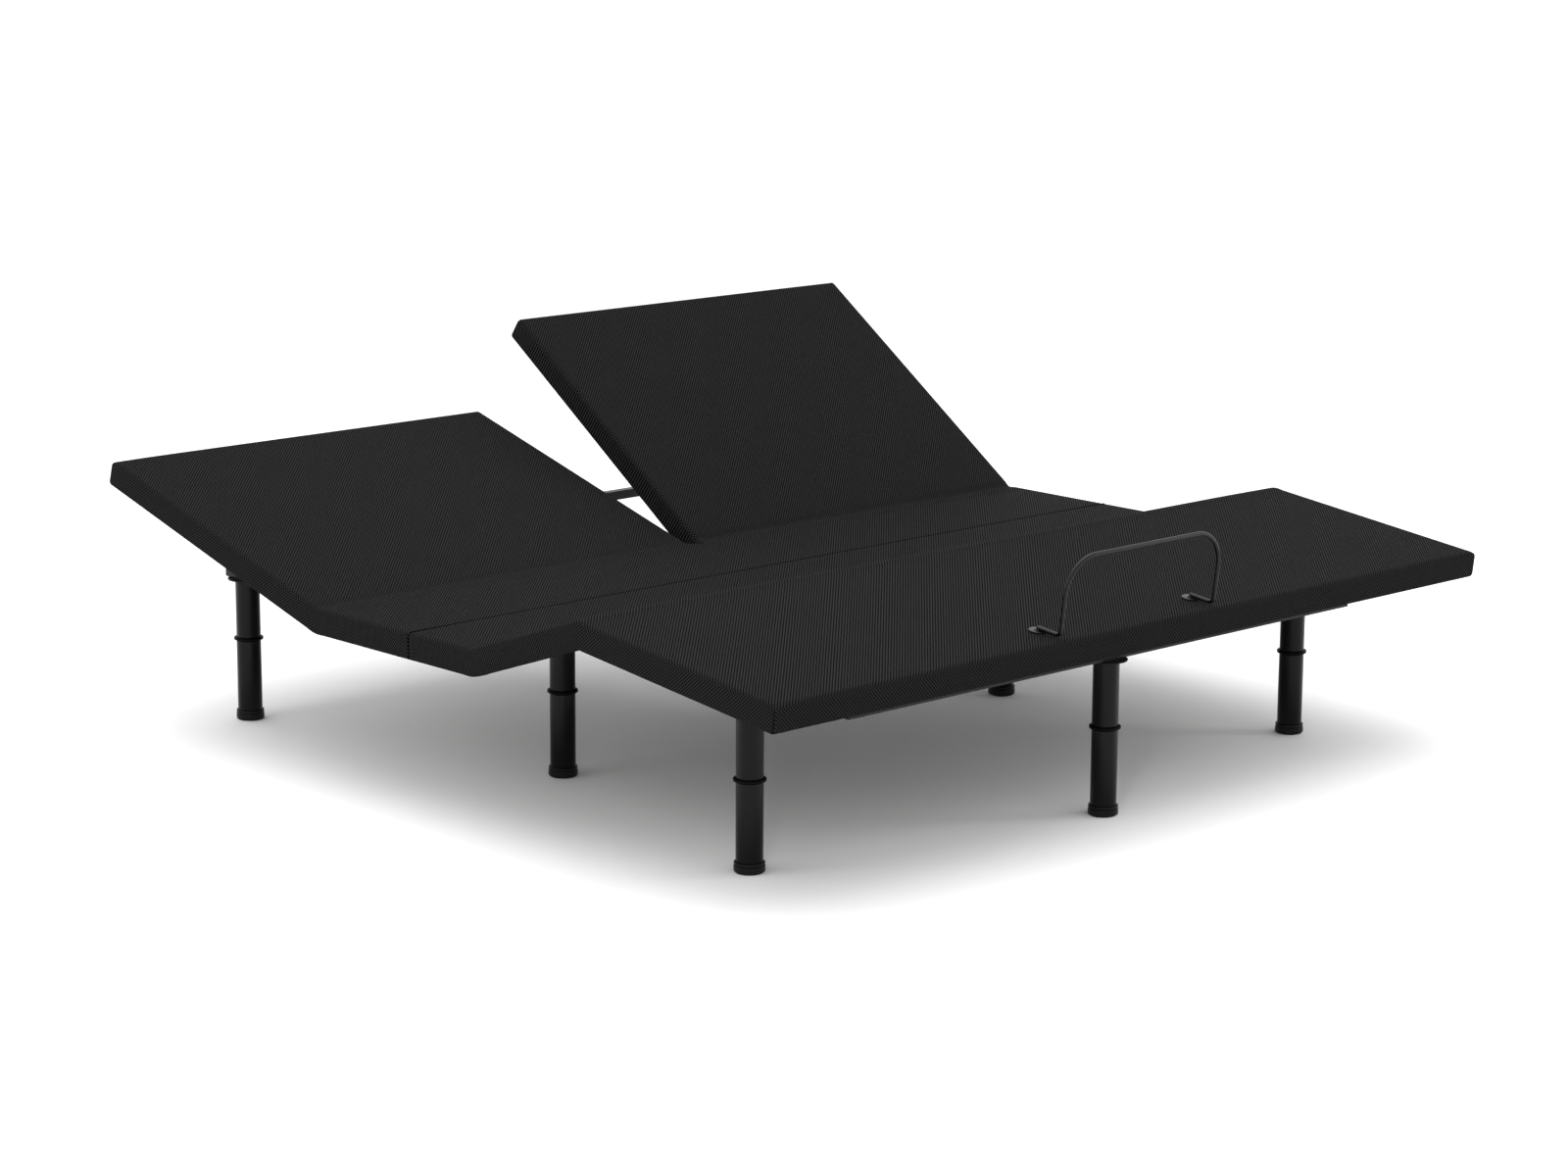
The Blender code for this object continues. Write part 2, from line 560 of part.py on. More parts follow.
foot = empty("foot", (0.0, THIGH_LENGTH, 0.0), -(THIGH_ANGLE + FOOT_SLOPE), thigh)
cover("foot_cover", foot, -half_width, half_width, FOLD_SETBACK, FOOT_LENGTH, {"start"}, (RIDGE_MITRE, 0.0))
foot_board = board("foot_board", foot, -half_width, half_width, RIDGE_SETBACK, FOOT_LENGTH - EDGE_WALL - GAP)
for side in (-1, 1):
    x = side * (LINK_X + LINK_BRACKET_X)
    alter(foot_board, "UNION",
          box((x - PLATE / 2, LINK_REACH - LINK_BRACKET_EDGE, -LINK_DROP - LINK_BRACKET_EDGE),
              (x + PLATE / 2, LINK_REACH + LINK_BRACKET_EDGE, BOARD_BOTTOM + 0.001)))
    alter(foot_board, "DIFFERENCE", rod((x - PLATE, LINK_REACH, -LINK_DROP),
                                        (x + PLATE, LINK_REACH, -LINK_DROP), LINK_SLOT))


# Lift arms: each is drawn along +Y from its shaft

def lift_arm(name, shaft, length):
    arm = make(f"{name}_lift_arm", rod((-LIFT_SHAFT_LENGTH / 2, 0, 0), (LIFT_SHAFT_LENGTH / 2, 0, 0),
                                       LIFT_SHAFT_RADIUS), STEEL, shaft, smooth=True)
    lean = radians(LEVER_ANGLE)
    tip = Vector((0.0, LEVER * cos(lean), LEVER * sin(lean)))

    def lever(mesh):
        add_box(mesh, (-LEVER_PLATE / 2, 0.0, -LEVER_WIDTH / 2), (LEVER_PLATE / 2, LEVER, LEVER_WIDTH / 2))
        bmesh.ops.rotate(mesh, verts=mesh.verts, cent=(0, 0, 0), matrix=Matrix.Rotation(lean, 3, "X"))

    def boss(half_length, radius, sides=SIDES):
        offset = Vector((half_length, 0.0, 0.0))
        return rod(tip - offset, tip + offset, radius, sides)

    alter(arm, "UNION", box((-ARM_WIDTH / 2, 0.0, -ARM_HEIGHT / 2),
                            (ARM_WIDTH / 2, length - GLIDE_RADIUS - GAP, ARM_HEIGHT / 2)),
          lever, boss(LEVER_PLATE / 2, LEVER_WIDTH / 2), boss(LEVER_PIN_LENGTH / 2, LEVER_PIN, 12))
    make(f"{name}_glide", rod((-GLIDE_LENGTH / 2, length, 0), (GLIDE_LENGTH / 2, length, 0), GLIDE_RADIUS),
         NYLON, shaft, smooth=True)


def flat_arm_angle(length):
    """The arm's angle when its glide touches the underside of a level board."""
    rise = LIFT_DROP + BOARD_BOTTOM - GLIDE_RADIUS - GAP
    return degrees(atan2(rise, sqrt(length ** 2 - rise ** 2)))


# Actuators: drawn along +Y from the tail pin, on the line that slopes down to the lever

def actuator(name, x, tail_y, facing_foot, arm_length, fold_angle):
    tail = empty(f"{name}_actuator", (x, tail_y, TAIL_Z), -ACTUATOR_SLOPE, base, facing_foot)
    width, long, high = GEARBOX
    gear_end = long - HOUSING_RADIUS
    housing = make(f"{name}_actuator_housing", box((-width / 2, -HOUSING_RADIUS, -high / 2),
                                                   (width / 2, gear_end, high / 2)), PLASTIC, tail)
    alter(housing, "UNION", rod((0, gear_end / 2, 0), (0, HOUSING_END, 0), HOUSING_RADIUS),
          rod((0.0, gear_end / 2, MOTOR_RISE), (0.0, MOTOR_END, MOTOR_RISE), MOTOR_RADIUS),
          box((-MOTOR_RADIUS + SADDLE_INSET, -HOUSING_RADIUS + SADDLE_INSET, high / 3),
              (MOTOR_RADIUS - SADDLE_INSET, gear_end - SADDLE_INSET, MOTOR_RISE + SADDLE_RISE)),
          rod((-TAIL_PLATE_X - PLATE, 0, 0), (TAIL_PLATE_X + PLATE, 0, 0), TAIL_PIN_RADIUS, 12))
    alter(housing, "DIFFERENCE", rod((0, MOTOR_END, 0), (0, HOUSING_END + ROD_RADIUS, 0),
                                     ROD_RADIUS + RUNNING_GAP))
    flat = radians(flat_arm_angle(arm_length) + LEVER_ANGLE)
    lever_y = ACTUATOR_REACH + LEVER * cos(flat) + ROD_TRAVEL * radians(fold_angle)
    along = lever_y / cos(radians(ACTUATOR_SLOPE))
    fork_start = along - FORK_HEIGHT
    cheek_start, cheek_end = along - FORK_HEIGHT * 0.65, along + FORK_HEIGHT * 0.4
    cheek = FORK_WIDTH / 2 - FORK_CHEEK
    rod_end = along - ROD_SETBACK
    push_rod = make(f"{name}_actuator_rod", rod((0, rod_end - ROD_LENGTH, 0), (0, rod_end, 0), ROD_RADIUS),
                    CHROME, tail, smooth=True)
    alter(push_rod, "UNION", box((-FORK_WIDTH / 2, fork_start, -FORK_HEIGHT / 3),
                                 (FORK_WIDTH / 2, along - FORK_ROOT, FORK_HEIGHT / 3)),
          box((cheek, cheek_start, -FORK_HEIGHT / 2), (FORK_WIDTH / 2, cheek_end, FORK_HEIGHT / 2)),
          box((-FORK_WIDTH / 2, cheek_start, -FORK_HEIGHT / 2), (-cheek, cheek_end, FORK_HEIGHT / 2)))
    alter(push_rod, "DIFFERENCE", box((-FORK_WIDTH, along - FORK_SLOT / 2, -FORK_HEIGHT / 3),
                                      (FORK_WIDTH, along + FORK_SLOT / 2, FORK_HEIGHT / 3)))


def lift(name, x, shaft_y, facing_foot, arm_length, fold_angle):
    shaft = empty(f"{name}_lift", (x, shaft_y, LIFT_Z), flat_arm_angle(arm_length) + LIFT_RATIO * fold_angle,
                  base, facing_foot)
    lift_arm(name, shaft, arm_length)
    toward = 1 if facing_foot else -1
    actuator(name, x, shaft_y + toward * ACTUATOR_REACH, facing_foot, arm_length, fold_angle)


lift("head_left", -HEAD_LIFT_X, 0.0, False, HEAD_ARM, HEAD_LEFT_ANGLE)
lift("head_right", HEAD_LIFT_X, 0.0, False, HEAD_ARM, HEAD_RIGHT_ANGLE)
lift("thigh", 0.0, -SEAT_LENGTH, True, THIGH_ARM, THIGH_ANGLE)


# Links from the thigh crossbar to the foot section

link_run = link_path[1] - link_fixed
link_angle = degrees(atan2(link_run.y, -link_run.x))
links = empty("foot_links", (0.0, link_fixed.x, link_fixed.y), link_angle, base, facing_foot=True)
for side, side_name in ((-1, "left"), (1, "right")):
    x = side * -LINK_X        # the links' own X runs the other way, because they face the foot
    thick, high = LINK_SIZE
    bar = box((x - thick / 2, -high / 2, -high / 2), (x + thick / 2, link_length + high / 2, high / 2))
    link = make(f"foot_link_{side_name}", bar, STEEL, links)
    outward = -side * (LINK_BRACKET_X + PLATE - LINK_PIN_SHORT)
    alter(link, "UNION", rod((x, link_length, 0), (x + outward, link_length, 0), LINK_PIN, 12))

# Control box under the seat, with its power inlet
control_box = make("control_box", box((CONTROL_BOX_X[0], CONTROL_BOX_Y[0], CONTROL_BOX_BOTTOM),
                                      (CONTROL_BOX_X[1], CONTROL_BOX_Y[1], PIVOT_Z + BOARD_BOTTOM - GAP)),
                   PLASTIC, base)
inlet_along, inlet_high, inlet_deep = INLET_SIZE
inlet_y, inlet_z = sum(CONTROL_BOX_Y) / 2, CONTROL_BOX_BOTTOM + INLET_LIFT
alter(control_box, "DIFFERENCE", box((CONTROL_BOX_X[1] - inlet_deep, inlet_y - inlet_along / 2, inlet_z),
                                     (CONTROL_BOX_X[1] + inlet_deep, inlet_y + inlet_along / 2,
                                      inlet_z + inlet_high)))


# Mattress retainer bar, square to the foot section

def retainer_line():
    """The rod's centre line as (x, y, z) on the foot section: disc, arm, hoop, arm, disc."""
    lift_off = PIVOT_DEPTH + GAP + RETAINER_DISC + RETAINER_ROD
    hoop_y = FOOT_LENGTH - RETAINER_EDGE
    half = RETAINER_WIDTH / 2
    start = hoop_y - RETAINER_FOOT
    top = lift_off + RETAINER_HEIGHT
    right = [(half - RETAINER_TOE, start, lift_off), (half - RETAINER_TOE, hoop_y, lift_off)]
    steps = 8
    for k in range(steps + 1):
        turn = pi / 2 * k / steps
        right.append((half - RETAINER_BEND * (1 - cos(turn)), hoop_y,
                      top - RETAINER_BEND * (1 - sin(turn))))
    left = [(-x, y, z) for x, y, z in reversed(right)]
    return [(x - RETAINER_X, y, z) for x, y, z in right + left]


def add_swept(mesh, line, radius, sides=8):
    """A round rod along a line of points, mitred at each of them."""
    line = [Vector(point) for point in line]
    runs = [(after - before).normalized() for before, after in zip(line, line[1:])]
    outward = runs[0].cross(Vector((0.0, 0.0, 1.0))).normalized()
    rings = []
    for k, point in enumerate(line):
        before = runs[max(k - 1, 0)]
        after = runs[min(k, len(runs) - 1)]
        if k:
            outward = before.rotation_difference(after) @ outward if k < len(runs) else outward
        middle = (before + after).normalized()
        ring = []
        for n in range(sides):
            turn = 2 * pi * n / sides
            spoke = (outward * cos(turn) + after.cross(outward) * sin(turn)) * radius
            slide = spoke.dot(middle) / after.dot(middle)
            ring.append(mesh.verts.new(point + spoke - after * slide))
        rings.append(ring)
    for first, second in zip(rings, rings[1:]):
        for n in range(sides):
            beside = (n + 1) % sides
            mesh.faces.new((first[n], first[beside], second[beside], second[n]))
    mesh.faces.new(list(reversed(rings[0])))
    mesh.faces.new(rings[-1])
    bmesh.ops.recalc_face_normals(mesh, faces=mesh.faces)


retainer_points = retainer_line()
retainer = make("retainer_bar", lambda mesh: add_swept(mesh, retainer_points, RETAINER_ROD), STEEL, foot,
                smooth=True)
disc_low = PIVOT_DEPTH + GAP
disc_high = disc_low + RETAINER_DISC + RETAINER_WELD
alter(retainer, "UNION", *[rod((x, y, disc_low), (x, y, disc_high), RETAINER_DISC_RADIUS)
                           for x, y, _ in (retainer_points[0], retainer_points[-1])])
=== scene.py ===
"""Looks of the adjustable bed base: upholstered deck sections, round legs, steel frame and lift gear.

The deck is drawn flat and then folded. A point of it is (x, s, n): x across the bed, s along the deck
from the head fold, and n above the deck's top. Every section carries its weave in those flat
coordinates, so the fabric runs on over the folds.
"""
import json
from math import acos, atan2, cos, pi, radians, sin, tan

import bmesh
import bpy
from mathutils import Matrix, Vector


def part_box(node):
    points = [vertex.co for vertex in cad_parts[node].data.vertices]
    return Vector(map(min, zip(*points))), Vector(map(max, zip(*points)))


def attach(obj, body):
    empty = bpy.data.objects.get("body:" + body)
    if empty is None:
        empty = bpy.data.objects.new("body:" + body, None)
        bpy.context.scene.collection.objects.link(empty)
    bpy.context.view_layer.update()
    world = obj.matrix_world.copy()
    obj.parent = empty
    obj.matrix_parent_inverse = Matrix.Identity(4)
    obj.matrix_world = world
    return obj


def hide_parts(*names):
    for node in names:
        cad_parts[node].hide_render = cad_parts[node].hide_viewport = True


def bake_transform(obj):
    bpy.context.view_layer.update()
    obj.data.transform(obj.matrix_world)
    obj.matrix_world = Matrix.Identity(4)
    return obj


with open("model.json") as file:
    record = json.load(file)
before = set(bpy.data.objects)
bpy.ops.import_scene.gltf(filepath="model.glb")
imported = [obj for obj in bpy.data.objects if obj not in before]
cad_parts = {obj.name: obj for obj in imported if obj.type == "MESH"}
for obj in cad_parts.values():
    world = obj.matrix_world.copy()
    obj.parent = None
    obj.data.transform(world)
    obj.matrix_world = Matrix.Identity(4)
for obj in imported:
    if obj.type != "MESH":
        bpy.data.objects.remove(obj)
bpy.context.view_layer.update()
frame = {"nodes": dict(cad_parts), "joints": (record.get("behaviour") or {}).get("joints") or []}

# The frame, as packed
joints = {joint["name"]: joint for joint in frame["joints"]}
HEAD_FOLD_Y = joints["head_left_fold"]["pos_m"][1]
SEAT_LENGTH = HEAD_FOLD_Y - joints["thigh_fold"]["pos_m"][1]
DECK_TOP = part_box("seat_head_cover")[1].z
HALF_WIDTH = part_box("seat_head_cover")[1].x
PIVOT_DEPTH = DECK_TOP - joints["head_left_fold"]["pos_m"][2]

# How the sections are set, in degrees, and their lengths
HEAD_LEFT_ANGLE = 15.85
HEAD_RIGHT_ANGLE = 35.0
THIGH_ANGLE = 19.0
FOOT_SLOPE = 6.7
HEAD_LENGTH = 0.709
SEAT_SEAM = 0.290
THIGH_LENGTH = 0.3155
FOOT_LENGTH = 0.5185
DECK_DEPTH = 0.054
RIDGE = SEAT_LENGTH + THIGH_LENGTH

# Upholstery
TOP_RADIUS = 0.0095
LOW_RADIUS = 0.0070
CORNER_RADIUS = 0.0040
SEAM_RADIUS = 0.0028
SEAM_GAP = 0.0009            # from the seat's seam to each of its two covers
WALL = 0.025                 # thickness of a cover's sides
SKIN = 0.008                 # thickness of a cover's top
SPLIT_HALF = 0.015
RELIEF_OVERLAP = 0.005       # the relief below the notch reaches this far into the pocket
NOTCH = 0.030                # how far the split runs into the seat
NOTCH_DEPTH = 0.026          # of the padded edge round the notch
RELIEF_END = 0.004           # how far past the head fold the relief below the notch ends
HEAD_JOIN = 0.060            # head covers run on over the seat to here
RIDGE_JOIN = 0.040           # the foot cover runs on over the thigh section from here to the ridge
SOFT_BEND = 0.022            # half length of a fold's bend
RIDGE_BEND = 0.022
CROWN = 0.0012               # the middle of a section stands this much higher than its edges
CROWN_REACH = 0.12           # and falls off to them over this distance
POCKET_FLOOR = -0.080        # cutters start below the section
OVERCUT = 0.01               # and run this far past its open ends
STRIPS = 12                  # rows and columns of faces in a section
BEND_STRIPS = 6              # rows in each half of a bend
EDGE_STEPS = 6               # faces round a padded edge
STRIP_MARGIN = 0.012         # no cut is nearer than this to a section's end
WEAVE_PITCH = 0.0070
YARN_PITCH = 0.0009

# Camera, in degrees and millimetres of lens
CAMERA_PLACE = (-5.151, HEAD_FOLD_Y - 5.7292, 1.9008)
CAMERA_TURN = 43.405
CAMERA_DOWN = 12.092
CAMERA_ROLL = 0.34
CAMERA_LENS = 86.76


# Shader helpers

class Shader:
    """A Principled material and the few node shapes that the surfaces here are made of."""

    def __init__(self, name, roughness=0.5, metallic=0.0, specular=0.5):
        self.material = bpy.data.materials.new(name)
        self.material.use_nodes = True
        self.tree = self.material.node_tree
        self.bsdf = self.tree.nodes["Principled BSDF"]
        self.bsdf.inputs["Roughness"].default_value = roughness
        self.bsdf.inputs["Metallic"].default_value = metallic
        self.bsdf.inputs["Specular IOR Level"].default_value = specular

    def node(self, kind, inputs=None, **settings):
        made = self.tree.nodes.new("ShaderNode" + kind)
        for key, value in settings.items():
            setattr(made, key, value)
        for key, value in (inputs or {}).items():
            self.feed(made.inputs[key], value)
        return made

    def feed(self, socket, value):
        if isinstance(value, bpy.types.NodeSocket):
            self.tree.links.new(value, socket)
        else:
            socket.default_value = value

    def math(self, operation, first, second=0.0, third=0.0):
        return self.node("Math", {0: first, 1: second, 2: third}, operation=operation).outputs[0]

    def span(self, value, low, high, to_low=0.0, to_high=1.0):
        """An S-shaped step from one value to the other."""
        limits = {"From Min": low, "From Max": high, "To Min": to_low, "To Max": to_high}
        made = self.node("MapRange", {"Value": value, **limits}, interpolation_type="SMOOTHSTEP")
        return made.outputs["Result"]

    def noise(self, place, scale, detail=3.0, roughness=0.5):
        return self.node("TexNoise", {"Vector": place, "Scale": scale, "Detail": detail,
                                      "Roughness": roughness}).outputs["Fac"]

    def mix(self, share, first, second):
        made = self.node("Mix", data_type="RGBA")
        self.feed(made.inputs["Factor"], share)
        self.feed(made.inputs[6], first)
        self.feed(made.inputs[7], second)
        return made.outputs[2]

    def object_place(self):
        return self.node("TexCoord").outputs["Object"]

    def colour(self, value):
        self.feed(self.bsdf.inputs["Base Color"], value)

    def bump(self, height, depth, strength=1.0):
        made = self.node("Bump", {"Height": height, "Distance": depth, "Strength": strength})
        self.feed(self.bsdf.inputs["Normal"], made.outputs["Normal"])


def rgb(value, tint=(1.0, 1.0, 1.0)):
    return (value * tint[0], value * tint[1], value * tint[2], 1.0)


COOL = (0.97, 0.98, 1.04)


def weave_material():
    """Spacer-mesh fabric: staggered rows of small holes between ribs of twisted yarn. The holes are
    coloured near-black as painted shade inside them.
    """
    shader = Shader("mesh_fabric", roughness=0.78, specular=0.08)
    place = shader.node("UVMap", uv_map="weave").outputs["UV"]
    split = shader.node("SeparateXYZ", {"Vector": place})
    across, along = split.outputs["X"], split.outputs["Y"]
    turn = 2 * pi / WEAVE_PITCH
    rows = shader.math("COSINE", shader.math("MULTIPLY", across, turn))
    columns = shader.math("COSINE", shader.math("MULTIPLY", along, turn))
    lattice = shader.math("MULTIPLY", rows, columns)
    hole = shader.span(lattice, -0.22, 0.28)
    yarn_turn = 2 * pi / YARN_PITCH
    twist = shader.math("SINE", shader.math("MULTIPLY", shader.math("ADD", across, along), yarn_turn))
    yarn = shader.math("MULTIPLY", shader.span(twist, -1.0, 1.0), shader.math("SUBTRACT", 1.0, hole))
    patches = shader.noise(place, 9.0, 3.0)
    lint = shader.noise(place, 900.0, 2.0)
    rib = shader.mix(patches, rgb(0.0158, COOL), rgb(0.0194, COOL))
    rib = shader.mix(shader.span(lint, 0.35, 0.75, 0.0, 0.45), rib, rgb(0.0280, COOL))
    # the holes are the fabric's real pattern; their near-black colour is painted shade inside them
    shader.colour(shader.mix(hole, rib, rgb(0.0004)))
    height = shader.math("ADD", shader.math("MULTIPLY", hole, -1.0), shader.math("MULTIPLY", yarn, 0.18))
    gloss = shader.math("MULTIPLY_ADD", hole, -0.085, 0.085)
    shader.feed(shader.bsdf.inputs["Specular IOR Level"], gloss)
    shader.bump(height, 0.0011, 1.0)
    return shader.material


def powder_coat(name, value, roughness, specular=0.30, peel=0.00006):
    """Satin powder coat with a fine orange peel and a few paler rubbed specks."""
    shader = Shader(name, roughness=roughness, specular=specular)
    place = shader.object_place()
    peel_height = shader.noise(place, 1100.0, 2.0)
    cloud = shader.noise(place, 6.0, 4.0, 0.6)
    rubbed = shader.span(shader.noise(place, 160.0, 4.0, 0.7), 0.68, 0.80, 0.0, 0.35)
    base = shader.mix(cloud, rgb(value * 0.85), rgb(value * 1.2))
    shader.colour(shader.mix(rubbed, base, rgb(value * 2.2)))
    sheen = shader.span(cloud, 0.2, 0.8, roughness - 0.05, roughness + 0.07)
    shader.feed(shader.bsdf.inputs["Roughness"], sheen)
    shader.bump(peel_height, peel, 0.6)
    return shader.material


def moulded_plastic(name, value, roughness, specular=0.30, grain=0.00012):
    """Moulded plastic with a spark-eroded grain."""
    shader = Shader(name, roughness=roughness, specular=specular)
    place = shader.object_place()
    cells = shader.node("TexVoronoi", {"Vector": place, "Scale": 850.0, "Randomness": 1.0},
                        feature="SMOOTH_F1").outputs["Distance"]
    cloud = shader.noise(place, 14.0, 3.0)
    shader.colour(shader.mix(cloud, rgb(value * 0.85), rgb(value * 1.25)))
    sheen = shader.span(cells, 0.0, 0.8, roughness - 0.05, roughness + 0.08)
    shader.feed(shader.bsdf.inputs["Roughness"], sheen)
    shader.bump(cells, grain, 0.7)
    return shader.material


def bare_metal(name, value, roughness, stretch):
    """Ground or plated metal, with fine lines across its axis."""
    shader = Shader(name, roughness=roughness, metallic=1.0)
    place = shader.node("Mapping", {"Vector": shader.object_place(), "Scale": stretch}).outputs["Vector"]
    lines = shader.noise(place, 40.0, 4.0, 0.7)
    stain = shader.noise(shader.object_place(), 22.0, 3.0)
    shader.colour(shader.mix(stain, rgb(value * 0.88), rgb(value * 1.05)))
    sheen = shader.span(lines, 0.3, 0.7, roughness - 0.04, roughness + 0.10)
    shader.feed(shader.bsdf.inputs["Roughness"], sheen)
    shader.bump(lines, 0.00003, 0.5)
    return shader.material


PLY_PAIR = 0.0052            # a dark and a pale ply
STAIN_DARK = (0.030, 0.024, 0.020, 1.0)
STAIN_PALE = (0.062, 0.052, 0.044, 1.0)
STAIN_FIGURE = (0.040, 0.032, 0.026, 1.0)
PLY_DARK = (0.020, 0.015, 0.012, 1.0)
PLY_PALE = (0.075, 0.060, 0.048, 1.0)


def plywood(name, lean):
    """Dark-stained plywood: long grain on its faces, plies on its edges. lean turns it level again."""
    shader = Shader(name, roughness=0.62, specular=0.3)
    level = shader.node("Mapping", {"Vector": shader.object_place(), "Rotation": (lean, 0.0, 0.0)})
    place = level.outputs["Vector"]
    grain_place = shader.node("Mapping", {"Vector": place, "Scale": (3.0, 60.0, 12.0)}).outputs["Vector"]
    grain = shader.noise(grain_place, 2.4, 6.0, 0.62)
    fine = shader.noise(grain_place, 30.0, 3.0, 0.6)
    figure_place = shader.node("Mapping", {"Vector": place, "Scale": (0.6, 5.0, 1.0)}).outputs["Vector"]
    figure = shader.noise(figure_place, 2.0)
    height = shader.node("SeparateXYZ", {"Vector": place}).outputs["Z"]
    plies = shader.math("SINE", shader.math("MULTIPLY", height, 2 * pi / PLY_PAIR))
    normal = shader.node("NewGeometry").outputs["True Normal"]
    level_normal = shader.node("Mapping", {"Vector": normal, "Rotation": (lean, 0.0, 0.0)},
                               vector_type="NORMAL").outputs["Vector"]
    upward = shader.node("SeparateXYZ", {"Vector": level_normal}).outputs["Z"]
    facing = shader.math("ABSOLUTE", upward)
    face = shader.mix(shader.span(grain, 0.3, 0.7), STAIN_DARK, STAIN_PALE)
    face = shader.mix(shader.span(figure, 0.35, 0.7, 0.0, 0.5), face, STAIN_FIGURE)
    edge = shader.mix(shader.span(plies, -0.5, 0.5), PLY_DARK, PLY_PALE)
    shader.colour(shader.mix(shader.span(facing, 0.3, 0.6), edge, face))
    shader.bump(shader.math("ADD", grain, shader.math("MULTIPLY", fine, 0.4)), 0.00018, 0.6)
    return shader.material


def floor_material():
    shader = Shader("pale_floor", roughness=0.9, specular=0.1)
    drift = shader.noise(shader.object_place(), 0.4, 2.0)
    shader.colour(shader.mix(drift, rgb(0.900), rgb(0.912)))
    return shader.material


FABRIC = weave_material()
THREAD = moulded_plastic("seam_thread", 0.0010, 0.85, 0.02)
LEG_PAINT = powder_coat("leg_powder_coat", 0.0014, 0.20, 0.14)
FRAME_PAINT = powder_coat("frame_powder_coat", 0.0035, 0.36, 0.20)
ROD_PAINT = powder_coat("retainer_powder_coat", 0.0020, 0.28, 0.22, 0.00003)
CAP_PLASTIC = moulded_plastic("cap_plastic", 0.0030, 0.42, 0.14)
RING_RUBBER = moulded_plastic("ring_rubber", 0.0010, 0.45, 0.05)
HOUSING_PLASTIC = moulded_plastic("housing_plastic", 0.020, 0.46)
GLIDE_NYLON = moulded_plastic("glide_nylon", 0.30, 0.42, grain=0.00005)
ROD_CHROME = bare_metal("rod_chrome", 0.72, 0.12, (1.0, 40.0, 1.0))
SHAFT_ZINC = bare_metal("shaft_black_zinc", 0.05, 0.36, (40.0, 1.0, 1.0))


# Pieces

def add_object(name, mesh, finish, smooth_angle=None):
    data = mesh if isinstance(mesh, bpy.types.Mesh) else bpy.data.meshes.new(name)
    if isinstance(mesh, bmesh.types.BMesh):
        mesh.to_mesh(data)
        mesh.free()
    data.name = name
    data.materials.clear()
    data.materials.append(finish)
    if smooth_angle is not None:
        data.shade_smooth()
        data.set_sharp_from_angle(angle=radians(smooth_angle))
    piece = bpy.data.objects.new(name, data)
    bpy.context.scene.collection.objects.link(piece)
    return piece


def evaluated_copy(thing):
    """The mesh of an object with its modifiers, with the object and its own mesh removed."""
    bpy.context.view_layer.update()
    made = bpy.data.meshes.new_from_object(thing.evaluated_get(bpy.context.evaluated_depsgraph_get()))
    own = thing.data
    bpy.data.objects.remove(thing)
    bpy.data.meshes.remove(own)
    return made


# The deck's folds

def smooth_step(value):
    value = min(max(value, 0.0), 1.0)
    return value * value * (3 - 2 * value)


class Run:
    """A stretch of deck in one direction from the head fold, with the folds that it crosses."""

    def __init__(self, toward, *folds):
        self.toward = toward
        self.folds = folds           # (place along the run, half length of the bend, degrees upwards)

    def place(self, x, s, n):
        along, above = s, n
        for at, half, angle in reversed(self.folds):
            turn = radians(angle) * smooth_step((s - at + half) / (2 * half))
            ahead, over = along - at, above + PIVOT_DEPTH
            along = at + ahead * cos(turn) - over * sin(turn)
            above = ahead * sin(turn) + over * cos(turn) - PIVOT_DEPTH
        return Vector((x, HEAD_FOLD_Y + self.toward * along, DECK_TOP + above))


FOOT_FOLD = (RIDGE, RIDGE_BEND, -(THIGH_ANGLE + FOOT_SLOPE))
THIGH_FOLD = (SEAT_LENGTH, SOFT_BEND, THIGH_ANGLE)
HEAD_LEFT_RUN = Run(1, (0.0, SOFT_BEND, HEAD_LEFT_ANGLE))
HEAD_RIGHT_RUN = Run(1, (0.0, SOFT_BEND, HEAD_RIGHT_ANGLE))
SEAT_RUN = Run(-1)
THIGH_RUN = Run(-1, THIGH_FOLD)
FOOT_RUN = Run(-1, THIGH_FOLD, FOOT_FOLD)


# Upholstered sections

def add_prism(mesh, outline, low, high):
    """An (x, s) outline between two heights."""
    face = mesh.faces.new([mesh.verts.new((x, s, low)) for x, s in outline])
    grown = bmesh.ops.extrude_face_region(mesh, geom=[face])
    moved = [v for v in grown["geom"] if isinstance(v, bmesh.types.BMVert)]
    bmesh.ops.translate(mesh, verts=moved, vec=(0.0, 0.0, high - low))
    bmesh.ops.recalc_face_normals(mesh, faces=mesh.faces)


def on_line(face, lines):
    """Whether a face lies on one of the lines, each given as (0 for x or 1 for s, value)."""
    return any(all(abs(v.co[axis] - value) < 1e-5 for v in face.verts) for axis, value in lines)


